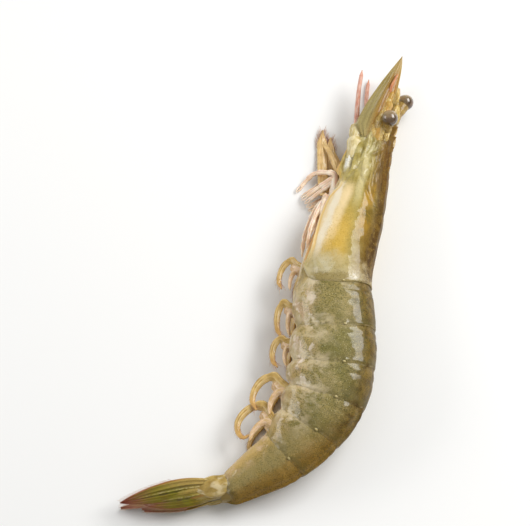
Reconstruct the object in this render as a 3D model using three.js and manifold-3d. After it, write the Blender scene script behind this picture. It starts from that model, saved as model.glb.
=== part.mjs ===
// Raw whole whiteleg shrimp, lying on its right side with its back turned a little upward.
// Millimetres, +Z up. The head points to +Y, the back to +X, the left side looks up.
// The origin is on the resting surface, under the middle of the outline.
import * as THREE from "three";
import Module from "manifold-3d";

// Lengths along the body, front to back
const CARAPACE_LENGTH = 48.5;
const SEGMENT_LENGTHS = [13.5, 10.8, 9.2, 9.6, 10, 18.8];
const TAIL_FAN_LENGTH = 30;
// Turn of the body at the back of the carapace and behind each segment, degrees toward the belly
const HEAD_HEADING = 12;
const NAPE_BEND = 6;
const FLEXION = [-16, 1.5, 9, 18, 10, 18.5, 22];
const HINGE_SOFTNESS = 5.5;
// Lean of the back away from level, head and tail, degrees
const ROLL_HEAD = 28;
const ROLL_WAIST = 21;
const ROLL_TAIL = 13;
// Relief of the shell
const LIP = 0.45;
const PLEURON_NOTCH = 0.06;
const REST_FLAT = 0.45;
// Head
const EYE_RADIUS = 2.4;
const ROSTRUM_LENGTH = 16;
const ROSTRUM_TEETH = 8;
const SCALE_LENGTH = 26;
const SCALE_WIDTH = 9;
// Limbs
const LEG_RADIUS = 0.8;
const PLEOPOD_WIDTH = 1.8;
const PLEOPOD_THICKNESS = 2.7;

const AROUND = 24;

// Smooth curve through a few [station, value] knots
function profile(knots) {
  const slope = knots.map((k, i) => {
    const a = knots[Math.max(i - 1, 0)];
    const b = knots[Math.min(i + 1, knots.length - 1)];
    return (b[1] - a[1]) / (b[0] - a[0]);
  });
  return (s) => {
    if (s <= knots[0][0]) return knots[0][1];
    const last = knots.length - 1;
    if (s >= knots[last][0]) return knots[last][1];
    let i = 0;
    while (s > knots[i + 1][0]) i += 1;
    const span = knots[i + 1][0] - knots[i][0];
    const t = (s - knots[i][0]) / span;
    const h1 = t * t * (3 - 2 * t);
    const rise = (t * (1 - t) * (1 - t)) * span * slope[i];
    const fall = (t * t * (t - 1)) * span * slope[i + 1];
    return knots[i][1] * (1 - h1) + knots[i + 1][1] * h1 + rise + fall;
  };
}

const UPWARD = new THREE.Vector3(0, 0, 1);
const rad = THREE.MathUtils.degToRad;
const smooth = THREE.MathUtils.smoothstep;

// Stations of the hinges, measured from the eye notch of the carapace
const hinges = [CARAPACE_LENGTH];
for (const length of SEGMENT_LENGTHS) hinges.push(hinges[hinges.length - 1] + length);
const ABDOMEN_END = hinges[hinges.length - 1];

// Half sizes of the body at a few stations: toward the back, toward the belly, to each side
const [NAPE, H1, H2, H3, H4, H5, H6] = hinges;
const MID6 = (H5 + H6) / 2;
const backOf = profile([[-5, 4.3], [0, 6.1], [6, 6.4], [15, 7.1], [26, 8.3], [38, 9.6], [NAPE, 11.8],
  [H1, 13.5], [H2, 13.9], [H3, 13.2], [H4, 11.3], [H5, 8.9], [MID6, 6.7], [H6, 4.9]]);
const bellyOf = profile([
  [-5, 3.6], [0, 5.2], [6, 6], [15, 7.4], [26, 9.4], [38, 10.5], [NAPE, 10.6], [H1, 10.8], [H2, 11.4],
  [H3, 10.7], [H4, 9.3], [H5, 7.8], [MID6, 6], [H6, 3.8],
]);
const sideOf = profile([[-5, 3.8], [0, 5], [6, 5.9], [15, 7.2], [26, 8.4], [38, 9], [NAPE, 8.9],
  [H1, 9.1], [H2, 9.1], [H3, 8.5], [H4, 7.5], [H5, 6.2], [MID6, 5.2], [H6, 4]]);
const grooveOf = profile([[-5, 0], [6, 0.08], [20, 0.22], [NAPE, 0.3], [H1, 0.4], [H4, 0.36], [H5 + 2, 0.1],
  [H6, 0]]);
const rollOf = profile([[-30, ROLL_HEAD], [10, ROLL_HEAD], [NAPE, ROLL_WAIST], [H6, ROLL_TAIL],
  [160, ROLL_TAIL]]);

function headingOf(s) {
  let angle = HEAD_HEADING + NAPE_BEND * smooth(s, 14, 32);
  hinges.forEach((at, i) => {
    angle += FLEXION[i] * smooth(s, at - HINGE_SOFTNESS, at + HINGE_SOFTNESS);
  });
  return rad(angle);
}

// Outline of the body at one station: turn 0 is the back, PI the belly, rising over the left side
function section(s, turn, grow = 0, lobe = 1) {
  const c = Math.cos(turn);
  const n = Math.sin(turn);
  const back = backOf(s) + grow;
  const belly = bellyOf(s) * lobe + grow;
  const side = sideOf(s) + grow;
  const groove = smooth(-c, 0.87, 1) * grooveOf(s) * belly;
  const up = c >= 0 ? back * c : -belly * (-c) ** 0.85 + groove;
  const left = side * Math.sign(n) * Math.abs(n) ** (c >= 0 ? 0.92 : 0.78);
  return [up, left];
}

// Middle line of the body in plan, walked from the front of the head to the tip of the tail
const FIRST = -34;
const STRIDE = 0.5;
const walk = [];
let px = 0;
let py = 0;
for (let s = FIRST; s <= 162; s += STRIDE) {
  const angle = headingOf(s);
  walk.push([px, py]);
  px -= Math.sin(angle) * STRIDE;
  py -= Math.cos(angle) * STRIDE;
}

// Height of the middle line that lets every station lie on the surface
function lowest(s) {
  const roll = rollOf(s);
  let low = 0;
  for (let i = 0; i < 72; i += 1) {
    const [up, left] = section(s, (i / 72) * 2 * Math.PI);
    low = Math.min(low, up * Math.sin(rad(roll)) + left * Math.cos(rad(roll)));
  }
  return -low;
}
const stops = [15, 26, 38, NAPE, H1, H2, H3, H4, H5, MID6];
const heightOf = profile([[-30, lowest(0) + 1.5], [-5, lowest(0) + 1.2], [6, lowest(6) + 0.4],
  ...stops.map((s) => [s, lowest(s)]), [H6, lowest(H6) + 0.5], [150, lowest(H6) + 0.5]]);

// Axes of the body at a station: toward the tail, the back and the left side
function frameAt(s) {
  const place = (s - FIRST) / STRIDE;
  const i = Math.min(Math.max(Math.floor(place), 0), walk.length - 2);
  const f = place - i;
  const x = walk[i][0] * (1 - f) + walk[i + 1][0] * f;
  const y = walk[i][1] * (1 - f) + walk[i + 1][1] * f;
  const angle = headingOf(s);
  const roll = rad(rollOf(s));
  const plain = new THREE.Vector3(Math.cos(angle), -Math.sin(angle), 0);
  const lift = UPWARD;
  return {
    at: new THREE.Vector3(x, y, heightOf(s) - REST_FLAT),
    tail: new THREE.Vector3(-Math.sin(angle), -Math.cos(angle), 0),
    back: plain.clone().multiplyScalar(Math.cos(roll)).addScaledVector(lift, Math.sin(roll)),
    left: plain.clone().multiplyScalar(-Math.sin(roll)).addScaledVector(lift, Math.cos(roll)),
  };
}

function bodyPoint(s, up, left) {
  const f = frameAt(s);
  return f.at.clone().addScaledVector(f.back, up).addScaledVector(f.left, left);
}

// Point measured outward from the belly edge, kept clear of the surface below
function bellyPoint(s, out, left, clear) {
  const p = bodyPoint(s, -bellyOf(s) - out, left);
  p.z = Math.max(p.z, clear);
  return p;
}

// Closed solid through rings that have the same number of points
function loft(rings) {
  const count = rings[0].length;
  const position = [];
  const index = [];
  for (const ring of rings) for (const p of ring) position.push(p.x, p.y, p.z);
  for (let r = 0; r + 1 < rings.length; r += 1) {
    for (let i = 0; i < count; i += 1) {
      const j = (i + 1) % count;
      const a = r * count;
      const b = a + count;
      index.push(a + i, a + j, b + j, a + i, b + j, b + i);
    }
  }
  for (const r of [0, rings.length - 1]) {
    const centre = new THREE.Vector3();
    for (const p of rings[r]) centre.addScaledVector(p, 1 / count);
    const hub = position.length / 3;
    position.push(centre.x, centre.y, centre.z);
    for (let i = 0; i < count; i += 1) {
      const a = r * count + i;
      const b = r * count + ((i + 1) % count);
      if (r === 0) index.push(hub, b, a);
      else index.push(hub, a, b);
    }
  }
  const shape = new THREE.BufferGeometry();
  shape.setAttribute("position", new THREE.Float32BufferAttribute(position, 3));
  shape.setIndex(index);
  return shape;
}

// Limb along a smooth path; reach is half its size along the flat side, thick half its thickness
function limb(path, flat, reach, thick, sides, stations) {
  const curve = new THREE.CatmullRomCurve3(path, false, "centripetal");
  const rings = [];
  for (let k = 0; k <= stations; k += 1) {
    const t = k / stations;
    const at = curve.getPointAt(t);
    const along = curve.getTangentAt(t);
    const edge = flat.clone().addScaledVector(along, -flat.dot(along)).normalize();
    const face = new THREE.Vector3().crossVectors(along, edge);
    const ring = [];
    for (let i = 0; i < sides; i += 1) {
      const turn = (i / sides) * 2 * Math.PI;
      const p = at.clone().addScaledVector(edge, reach(t) * Math.cos(turn));
      p.addScaledVector(face, thick(t) * Math.sin(turn));
      ring.push(p);
    }
    rings.push(ring);
  }
  return loft(rings);
}

const wasm = await Module();
wasm.setup();

function signedVolume(position, index) {
  let sum = 0;
  const a = new THREE.Vector3();
  const b = new THREE.Vector3();
  const c = new THREE.Vector3();
  for (let i = 0; i < index.length; i += 3) {
    a.fromArray(position, index[i] * 3);
    b.fromArray(position, index[i + 1] * 3);
    c.fromArray(position, index[i + 2] * 3);
    sum += a.dot(b.cross(c));
  }
  return sum;
}

function solid(shape) {
  const position = Float32Array.from(shape.attributes.position.array);
  const index = Uint32Array.from(shape.index.array);
  if (signedVolume(position, index) < 0) {
    for (let i = 0; i < index.length; i += 3) {
      const keep = index[i];
      index[i] = index[i + 1];
      index[i + 1] = keep;
    }
  }
  return new wasm.Manifold(new wasm.Mesh({ numProp: 3, vertProperties: position, triVerts: index }));
}

// Welds the loose corners of a ready-made shape
function welded(shape) {
  const source = shape.attributes.position;
  const known = new Map();
  const position = [];
  const index = [];
  const order = shape.index ? Array.from(shape.index.array) : Array.from({ length: source.count }, (_, i) => i);
  const name = order.map((i) => {
    const p = [source.getX(i), source.getY(i), source.getZ(i)];
    const key = p.map((v) => v.toFixed(4)).join(" ");
    if (!known.has(key)) {
      known.set(key, position.length / 3);
      position.push(...p);
    }
    return known.get(key);
  });
  for (let i = 0; i < name.length; i += 3) {
    const [a, b, c] = name.slice(i, i + 3);
    if (a !== b && b !== c && c !== a) index.push(a, b, c);
  }
  const out = new THREE.BufferGeometry();
  out.setAttribute("position", new THREE.Float32BufferAttribute(position, 3));
  out.setIndex(index);
  return out;
}

const pieces = [];

// Trunk: carapace and six segments in one skin, each plate standing proud over the next
const trunk = [];
function ringAt(s, grow, lobe = 1) {
  const ring = [];
  for (let i = 0; i < AROUND; i += 1) {
    const turn = (i / AROUND) * 2 * Math.PI;
    const [up, left] = section(s, turn, grow, lobe);
    ring.push(bodyPoint(s, up, left));
  }
  trunk.push(ring);
}
ringAt(-6, -2.6);
ringAt(-5, -1.2);
ringAt(-2.5, -0.3);
for (const s of [0, 4, 9, 15, 22, 29, 37, 44]) ringAt(s, 0);
ringAt(hinges[0], LIP);
for (let i = 0; i < 6; i += 1) {
  const from = hinges[i];
  const span = hinges[i + 1] - from;
  const notch = i < 5 ? PLEURON_NOTCH : 0;
  for (const u of [0, 0.22, 0.5, 0.78, 1]) {
    const lobe = 1 - notch * Math.abs(2 * u - 1) ** 3;
    ringAt(from + span * u + (u === 0 ? 0.12 : 0), u === 1 ? LIP * 0.8 : -0.15 + 0.35 * u, lobe);
  }
}
ringAt(ABDOMEN_END + 2.2, -1.2);
pieces.push(solid(loft(trunk)));

// Rostrum: a thin toothed blade on the mid line, running forward from the top of the carapace
const crest = [];
const crestStart = 12;
const crestLine = (s) => backOf(Math.max(s, 2)) + 0.3 - 2.9 * smooth(-s, 2, ROSTRUM_LENGTH + 2);
const pitch = (crestStart + ROSTRUM_LENGTH - 1.6) / ROSTRUM_TEETH;
crest.push([crestStart, crestLine(crestStart) - 0.6]);
for (let i = 0; i < ROSTRUM_TEETH; i += 1) {
  const s = crestStart - pitch * i;
  const tall = 0.9 + 0.25 * Math.sin((i / ROSTRUM_TEETH) * Math.PI);
  crest.push([s - pitch * 0.15, crestLine(s) + 0.1]);
  crest.push([s - pitch * 0.95, crestLine(s - pitch) + tall]);
}
crest.push([-ROSTRUM_LENGTH, crestLine(-ROSTRUM_LENGTH) - 0.2]);
crest.push([-ROSTRUM_LENGTH * 0.72, crestLine(-ROSTRUM_LENGTH * 0.72) - 1.2]);
crest.push([-ROSTRUM_LENGTH * 0.3, crestLine(-ROSTRUM_LENGTH * 0.3) - 2.2]);
crest.push([0, crestLine(0) - 3]);
crest.push([crestStart, crestLine(crestStart) - 3]);
const blade = new THREE.ExtrudeGeometry(new THREE.Shape(crest.map(([s, up]) => new THREE.Vector2(s, up))),
  { depth: 1.2, bevelEnabled: false });
const crestPosition = blade.attributes.position;
for (let i = 0; i < crestPosition.count; i += 1) {
  const p = bodyPoint(crestPosition.getX(i), crestPosition.getY(i), crestPosition.getZ(i) - 0.6);
  crestPosition.setXYZ(i, p.x, p.y, p.z);
}
pieces.push(solid(welded(blade)));

// Eyes on their stalks; the right one reaches further forward
for (const [s, up, left, root] of [[-5, 6.9, 4.9, 2], [-13.2, 5.7, -4.2, -2]]) {
  const centre = bodyPoint(s, up, left);
  const ball = new THREE.SphereGeometry(EYE_RADIUS, 14, 8);
  ball.translate(centre.x, centre.y, centre.z);
  pieces.push(solid(welded(ball)));
  const neck = bodyPoint((s + 1) * 0.5, up * 0.5 + 2.6, (left + root) * 0.5);
  const stalk = limb([bodyPoint(2, 4.6, root), neck, centre], UPWARD,
    (t) => 1.5 + 0.5 * t, (t) => 1.5 + 0.5 * t, 8, 4);
  pieces.push(solid(stalk));
}

// Flat blades: antennal scales and the tail fan, turned about their length by a lean from level
function leaf(path, s, lean, width, thick, peak, taper) {
  const f = frameAt(s);
  const edge = f.left.clone().multiplyScalar(Math.cos(lean)).addScaledVector(f.back, -Math.sin(lean));
  const reach = (t) => {
    const grown = Math.min(1, 0.45 + 0.55 * Math.sin((Math.min(t, peak) / peak) * Math.PI * 0.5));
    const drawn = t < peak ? 1 : (1 - ((t - peak) / (1 - peak)) ** taper[0]) ** taper[1];
    return Math.max((width / 2) * grown * drawn, 0.3);
  };
  const depth = (t) => Math.max((thick / 2) * (1 - 0.65 * t), 0.25);
  return limb(path.map((p) => new THREE.Vector3(...p)), edge, reach, depth, 8, 8);
}
const at = (s, up, left, clear = 0.5) => {
  const p = bodyPoint(s, up, left);
  p.z = Math.max(p.z, clear);
  return p.toArray();
};
for (const side of [1, -1]) {
  const lean = rad(42) * side;
  const tip = 1 - SCALE_LENGTH;
  const rise = side > 0 ? 6.2 : 3.4;
  const spine = [at(1, 0.2, 4.2 * side), at(-8, 0.3 + rise / 3, 5.4 * side), at(tip, rise, 4.2 * side)];
  pieces.push(solid(leaf(spine, 0, lean, SCALE_WIDTH, 1.7, 0.14, [1.35, 0.82])));
  // Antenna: stout base and the trimmed start of the flagellum
  pieces.push(solid(limb([bodyPoint(8, -2.6, 3.8 * side), bodyPoint(2, -3, 5 * side),
    bodyPoint(-3, -3.4, 5.2 * side)], UPWARD, (t) => 2.6 - 0.8 * t, (t) => 2.6 - 0.8 * t, 8, 4)));
  const low = side > 0 ? 0 : 2.4;
  const whip = [[-2, -3.4, 5.2], [-8, -4.6 - low * 0.6, 5], [-14, -5.5 - low, 4.8], [-20.5, -6 - low, 4.6]];
  const whipPath = whip.map(([s, up, left]) => new THREE.Vector3(...at(s, up, left * side, 0.8)));
  pieces.push(solid(limb(whipPath, UPWARD, (t) => 0.85 - 0.3 * t, (t) => 0.85 - 0.3 * t, 5, 5)));
  // Antennule: three-jointed stem and two short flagella
  const stem = [[4, 2.6, 2.4], [-4, 3.2, 3], [-10, 4.2, 3.2], [-14.5, 4.9, 3.2]];
  const stemPath = stem.map(([s, up, left]) => bodyPoint(s, up, left * side));
  pieces.push(solid(limb(stemPath, UPWARD, (t) => 2.3 - 1.3 * t, (t) => 2.3 - 1.3 * t, 8, 6)));
  for (const fork of [0.5, -0.5]) {
    const lash = side > 0
      ? [[-13, 4.4, 3.8], [-15.5, 5.2 + fork * 0.4, 4.6 + fork], [-18.8, 6.3 + fork * 0.8, 4.9 + fork * 0.6]]
      : [[-13, 4.6, -3], [-15.5, 5.1 + fork, -3.2], [-18.5, 5.7 + fork, -3.3]];
    pieces.push(solid(limb(lash.map((p) => bodyPoint(...p)), UPWARD,
      (t) => 0.6 - 0.2 * t, (t) => 0.6 - 0.2 * t, 5, 4)));
  }
}

// Walking legs and the long mouth limb: [station, reach out from the belly, to the side]
const LEG_PATHS = [
  [[18, -3, 2.4], [12.6, 0.4, 2.8], [6.5, 5, 2.8], [1.9, 9.7, 2.3]],
  [[23, -3, 3], [17, -0.6, 3.8], [13.2, 0.8, 4], [12.4, 4.4, 3.8], [12.8, 8.4, 3.2], [15, 10.6, 2.4],
    [17.2, 11.8, 1.6]],
  [[27, -3, 3], [19, -0.6, 3.4], [14.2, 1, 3.4], [16.6, 4.6, 2.8], [20.4, 8.2, 2]],
  [[30, -3, 2.6], [21, -0.6, 3], [15.6, 0.8, 3], [18, 3.8, 2.4], [21.4, 6.8, 1.6]],
  [[33, -4, 4.4], [26, -2.1, 6.1], [21.5, -1.7, 5.8], [26.5, -1.5, 6], [33, -1.6, 6.2], [40, -2, 6]],
  [[37, -4, 3.6], [30, -0.9, 4.6], [23.5, -0.2, 4.2], [28.5, 0.1, 4], [36, 0.1, 3.8], [42, -0.4, 3.6]],
];
// The mouth limb ends in a broad strap that hangs from its arm
const STRAP = [[-1.8, 11.6, 2.2], [2.5, 10, 2.1], [9.2, 7.5, 1.9], [15, 5.2, 1.8], [19.6, 3.2, 1.7]];
const strapHalf = (t) => 1.5 * (0.3 + 0.7 * smooth(t, 0, 0.2)) * (1 - 0.35 * smooth(t, 0.72, 1));
for (const side of [1, -1]) {
  const lag = side > 0 ? 0 : 1.8;
  const hold = side > 0 ? 1 : 0.9;
  const along = (path) => path.map(([s, out, left]) => bellyPoint(s + lag, out * hold, left * side, 0.9));
  pieces.push(solid(limb(along(STRAP), UPWARD, (t) => 0.6 - 0.2 * t, strapHalf, 6, 8)));
  LEG_PATHS.forEach((path, i) => {
    const radius = LEG_RADIUS * (i === 0 ? 1.2 : 1);
    pieces.push(solid(limb(along(path), UPWARD, (t) => radius * (1.35 - 0.6 * t),
      (t) => radius * (1.2 - 0.55 * t), 5, 3 + path.length)));
  });
}

// Swimming legs: a strap arching forward and back, and a short inner branch along the belly
const PLEOPOD_ARCH = [[1, -3], [-0.6, 1], [-2, 4], [0, 6.6], [3.8, 7.7], [7.6, 7], [10, 4.6]];
const PLEOPOD_INNER = [[1.5, -3], [1.9, 0], [4, 1.1], [7, 1.1], [10, 0]];
const PLEOPOD_STATIONS = [NAPE - 3.5, H1 - 7, H2 - 6.8, H3 + 1, H4 + 4];
const PLEOPOD_REACH = [0.6, 0.54, 0.6, 0.95, 0.92];
const PLEOPOD_RUN = [0.75, 0.85, 0.7, 0.92, 0.9];
const TUCKED = 0.55;
for (const side of [1, -1]) {
  PLEOPOD_STATIONS.forEach((station, i) => {
    const reach = PLEOPOD_REACH[i] * (side > 0 ? 1 : TUCKED);
    const f = frameAt(station);
    const broad = f.left;
    const place = ([along, out], left) => {
      const p = f.at.clone().addScaledVector(f.tail, along * PLEOPOD_RUN[i]);
      p.addScaledVector(f.left, left * side);
      p.addScaledVector(f.back, -bellyOf(station) - (out > 0 ? out * reach : out));
      p.z = Math.max(p.z, 0.9);
      return p;
    };
    const deep = PLEOPOD_WIDTH / 2;
    const half = PLEOPOD_THICKNESS / 2;
    pieces.push(solid(limb(PLEOPOD_ARCH.map((p) => place(p, 4.2)), broad,
      (t) => deep * (1.15 - 0.5 * t), (t) => half * (1.3 - 0.65 * t), 6, 8)));
    pieces.push(solid(limb(PLEOPOD_INNER.map((p) => place(p, 4)), broad,
      (t) => deep * (1 - 0.4 * t), (t) => half * (1.1 - 0.5 * t), 6, 5)));
  });
}

// Tail fan: telson on the mid line and two blades on each side, folded down beside it
const TAIL = ABDOMEN_END;
pieces.push(solid(leaf([at(TAIL - 2, 1.2, 0), at(TAIL + 10, 1.6, 0), at(TAIL + 24, 1.3, 0)], TAIL + 10, 0,
  7, 2.8, 0.2, [1.6, 0.9])));
for (const side of [1, -1]) {
  const sink = side > 0 ? 0 : -1.4;
  pieces.push(solid(limb([bodyPoint(TAIL - 3.5, -0.7, 1.4 * side), bodyPoint(TAIL + 0.5, -0.9, 2.2 * side),
    bodyPoint(TAIL + 5, -1, 3 * side)], UPWARD, (t) => 2.4 - 1.1 * t, (t) => 2.4 - 1.1 * t, 8, 3)));
  pieces.push(solid(leaf([at(TAIL + 1, 0.6, 1.8 * side), at(TAIL + 11, 1.2, 2.6 * side, 1),
    at(TAIL + 23.5, 1, 2.2 * side, 1)], TAIL + 10, rad(50) * side, 6, 1.9, 0.45, [2, 0.75])));
  pieces.push(solid(leaf([at(TAIL + 1, sink - 1, 2.6 * side), at(TAIL + 13, sink - 0.9, 4 * side, 1),
    at(TAIL + TAIL_FAN_LENGTH, sink, 3.2 * side, 1)], TAIL + 10, rad(54) * side, 6.4, 2, 0.4, [1.8, 0.8])));
}

// One body, cut level where it lies on the surface
let whole = pieces[0];
for (const piece of pieces.slice(1)) whole = whole.add(piece);
const under = new THREE.BoxGeometry(400, 400, 60);
under.translate(0, -80, -30);
whole = whole.subtract(solid(welded(under)));

const net = whole.getMesh();
const form = new THREE.BufferGeometry();
form.setAttribute("position", new THREE.BufferAttribute(Float32Array.from(net.vertProperties), 3));
form.setIndex(new THREE.BufferAttribute(Uint32Array.from(net.triVerts), 1));
form.computeBoundingBox();
const middle = form.boundingBox.getCenter(new THREE.Vector3());
form.translate(-middle.x, -middle.y, -form.boundingBox.min.z);
form.computeVertexNormals();

const shrimp = new THREE.Mesh(form, new THREE.MeshStandardMaterial({ color: 0xa89a5c, roughness: 0.35 }));
shrimp.name = "shrimp";

const part = new THREE.Group();
part.name = "raw_whiteleg_shrimp";
part.add(shrimp);
export default part;
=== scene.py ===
import math

import bpy
import numpy as np
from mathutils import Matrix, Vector, noise


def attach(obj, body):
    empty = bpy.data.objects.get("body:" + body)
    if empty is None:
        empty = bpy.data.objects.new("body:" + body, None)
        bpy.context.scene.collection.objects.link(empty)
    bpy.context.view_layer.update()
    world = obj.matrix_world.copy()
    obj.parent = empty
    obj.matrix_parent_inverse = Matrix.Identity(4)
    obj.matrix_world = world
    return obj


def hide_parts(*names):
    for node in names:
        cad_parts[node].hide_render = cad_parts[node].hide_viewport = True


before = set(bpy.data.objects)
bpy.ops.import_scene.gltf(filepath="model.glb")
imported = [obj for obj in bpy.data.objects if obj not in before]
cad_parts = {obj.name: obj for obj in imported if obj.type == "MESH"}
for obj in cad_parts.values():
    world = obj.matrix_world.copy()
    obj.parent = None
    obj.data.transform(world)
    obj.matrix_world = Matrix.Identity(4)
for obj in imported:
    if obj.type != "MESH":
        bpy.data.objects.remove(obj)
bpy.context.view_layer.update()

MM = 0.001
RNG = np.random.default_rng(7)

# Body plan: the same named sizes as the solid.
CARAPACE_LENGTH = 48.5
SEGMENT_LENGTHS = [13.5, 10.8, 9.2, 9.6, 10, 18.8]
TAIL_FAN_LENGTH = 30
HEAD_HEADING = 12
NAPE_BEND = 6
FLEXION = [-16, 1.5, 9, 18, 10, 18.5, 22]
HINGE_SOFTNESS = 5.5
ROLL_HEAD, ROLL_WAIST, ROLL_TAIL = 28, 21, 13
REST_FLAT = 0.45
BODY_START = (37.609, 77.247)
EYE_RADIUS = 2.4
ROSTRUM_LENGTH = 16
ROSTRUM_TEETH = 8
SCALE_LENGTH = 26
SCALE_WIDTH = 9.0
LEG_RADIUS = 0.8
PLEOPOD_WIDTH = 2.9
PLEOPOD_THICKNESS = 1.3
CARAPACE_WALL, TERGITE_WALL = 0.35, 0.2
HINGE_TURN = math.radians(58)

# Fineness of the work, and what all pieces share.
STATION_STEP = 0.5
OUTLINE_POINTS = 72
PATH_POINTS = 25
SMOOTHING_ANGLE = math.radians(50)
FLOOR_GAP = 0.02
THINNEST_EDGE = 0.12
SIDES = ((1, "left"), (-1, "right"))
UP = (0, 0, 1)

HINGES = np.cumsum([CARAPACE_LENGTH] + SEGMENT_LENGTHS)
NAPE, H1, H2, H3, H4, H5, H6 = HINGES
MID6 = (H5 + H6) / 2


def smooth(x, low, high):
    t = np.clip((np.asarray(x, float) - low) / (high - low), 0, 1)
    return t * t * (3 - 2 * t)


def fade(x, low, high):
    return 1 - smooth(x, low, high)


def bell(x, width):
    return np.exp(-(np.asarray(x, float) / width) ** 2)


def unit(v):
    """Direction of length one: of one vector, or of each row."""
    return v / (np.linalg.norm(v) if v.ndim == 1 else np.linalg.norm(v, axis=1)[:, None])


def keep_above(p, clear):
    p[:, 2] = np.maximum(p[:, 2], clear)
    return p


def profile(*knots):
    """Smooth curve through a few (station, value) knots."""
    at = np.array([k[0] for k in knots], float)
    val = np.array([k[1] for k in knots], float)
    last = len(at) - 1
    low, high = np.maximum(np.arange(last + 1) - 1, 0), np.minimum(np.arange(last + 1) + 1, last)
    slope = (val[high] - val[low]) / (at[high] - at[low])

    def curve(s):
        s = np.clip(np.asarray(s, float), at[0], at[-1])
        i = np.clip(np.searchsorted(at, s, side="right") - 1, 0, last - 1)
        span = at[i + 1] - at[i]
        t = (s - at[i]) / span
        h = t * t * (3 - 2 * t)
        return (val[i] * (1 - h) + val[i + 1] * h + t * (1 - t) ** 2 * span * slope[i]
                + t * t * (t - 1) * span * slope[i + 1])
    return curve


# Half sizes of the body at its stations, the depth of the belly groove and the roll on the floor.
back_of = profile((-5, 4.3), (0, 6.1), (6, 6.4), (15, 7.1), (26, 8.3), (38, 9.6), (NAPE, 11.8), (H1, 13.5),
                  (H2, 13.9), (H3, 13.2), (H4, 11.3), (H5, 8.9), (MID6, 6.7), (H6, 4.9))
belly_of = profile((-5, 3.6), (0, 5.2), (6, 6), (15, 7.4), (26, 9.4), (38, 10.5), (NAPE, 10.6), (H1, 10.8),
                   (H2, 11.4), (H3, 10.7), (H4, 9.3), (H5, 7.8), (MID6, 6), (H6, 3.8))
side_of = profile((-5, 3.8), (0, 5), (6, 5.9), (15, 7.2), (26, 8.4), (38, 9), (NAPE, 8.9), (H1, 9.1),
                  (H2, 9.1), (H3, 8.5), (H4, 7.5), (H5, 6.2), (MID6, 5.2), (H6, 4))
groove_of = profile((-5, 0), (6, 0.08), (20, 0.22), (NAPE, 0.3), (H1, 0.4), (H4, 0.36), (H5 + 2, 0.1),
                    (H6, 0))
roll_of = profile((-30, ROLL_HEAD), (10, ROLL_HEAD), (NAPE, ROLL_WAIST), (H6, ROLL_TAIL), (160, ROLL_TAIL))


def heading_of(s):
    s = np.asarray(s, float)
    angle = HEAD_HEADING + NAPE_BEND * smooth(s, 14, 32)
    for at, bend in zip(HINGES, FLEXION):
        angle = angle + bend * smooth(s, at - HINGE_SOFTNESS, at + HINGE_SOFTNESS)
    return np.radians(angle)


def section(s, turn, grow=0.0, lobe=1.0):
    """Body outline at a station: turn 0 is the back, pi the belly, positive over the left side."""
    c, n = np.cos(turn), np.sin(turn)
    belly = belly_of(s) * lobe + grow
    groove = smooth(-c, 0.87, 1) * groove_of(s) * belly
    up = np.where(c >= 0, (back_of(s) + grow) * c, -belly * np.maximum(-c, 0) ** 0.85 + groove)
    left = (side_of(s) + grow) * np.sign(n) * np.abs(n) ** np.where(c >= 0, 0.92, 0.78)
    return up, left


STATION = np.arange(-34, 162.5, STATION_STEP)
WALK_X, WALK_Y = (first + np.concatenate([[0], np.cumsum(-way(heading_of(STATION)) * STATION_STEP)[:-1]])
                  for first, way in zip(BODY_START, (np.sin, np.cos)))


def lowest(s):
    """How far the rolled outline reaches below the body line at a station."""
    turn = np.arange(OUTLINE_POINTS) / OUTLINE_POINTS * 2 * np.pi
    up, left = section(np.full(OUTLINE_POINTS, float(s)), turn)
    roll = math.radians(float(roll_of(s)))
    return -float(np.min(up * math.sin(roll) + left * math.cos(roll)))


height_of = profile((-30, lowest(0) + 1.5), (-5, lowest(0) + 1.2), (6, lowest(6) + 0.4),
                    *[(s, lowest(s)) for s in (15, 26, 38, NAPE, H1, H2, H3, H4, H5, MID6)],
                    (H6, lowest(H6) + 0.5), (150, lowest(H6) + 0.5))


def frame_at(s):
    """Place and axes of the body at stations: middle, toward the tail, the back and the left side."""
    s = np.atleast_1d(np.asarray(s, float))
    angle, roll = heading_of(s), np.radians(roll_of(s))
    at = np.stack([np.interp(s, STATION, WALK_X), np.interp(s, STATION, WALK_Y), height_of(s) - REST_FLAT], 1)
    tail = np.stack([-np.sin(angle), -np.cos(angle), 0 * s], 1)
    plain = np.stack([np.cos(angle), -np.sin(angle), 0 * s], 1)
    lift = np.stack([0 * s, 0 * s, 1 + 0 * s], 1)
    back = plain * np.cos(roll)[:, None] + lift * np.sin(roll)[:, None]
    left = -plain * np.sin(roll)[:, None] + lift * np.cos(roll)[:, None]
    return at, tail, back, left


def axes_at(s):
    return [v[0] for v in frame_at(s)]


def body_point(s, up, left, clear=None):
    """Points at stations, so far toward the back and the left; clear keeps them above the floor."""
    at, _, back, side = frame_at(s)
    p = at + back * np.atleast_1d(up)[:, None] + side * np.atleast_1d(left)[:, None]
    return p if clear is None else keep_above(p, clear)


def belly_point(s, out, left, clear):
    return body_point(s, -belly_of(s) - out, left, clear)


def rough(p, size, seed=0.0):
    """Soft random swell over points, about -1 to 1."""
    return np.array([noise.noise(Vector((x / size + seed, y / size, z / size))) for x, y, z in p])


# Making a piece: a blank is drawn with operators, and its corners are then set to worked-out places.
def start():
    if bpy.context.object and bpy.context.object.mode != "OBJECT":
        bpy.ops.object.mode_set(mode="OBJECT")
    bpy.ops.object.select_all(action="DESELECT")


def pick(obj):
    start()
    obj.select_set(True)
    bpy.context.view_layer.objects.active = obj


BLANKS = {}


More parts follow.
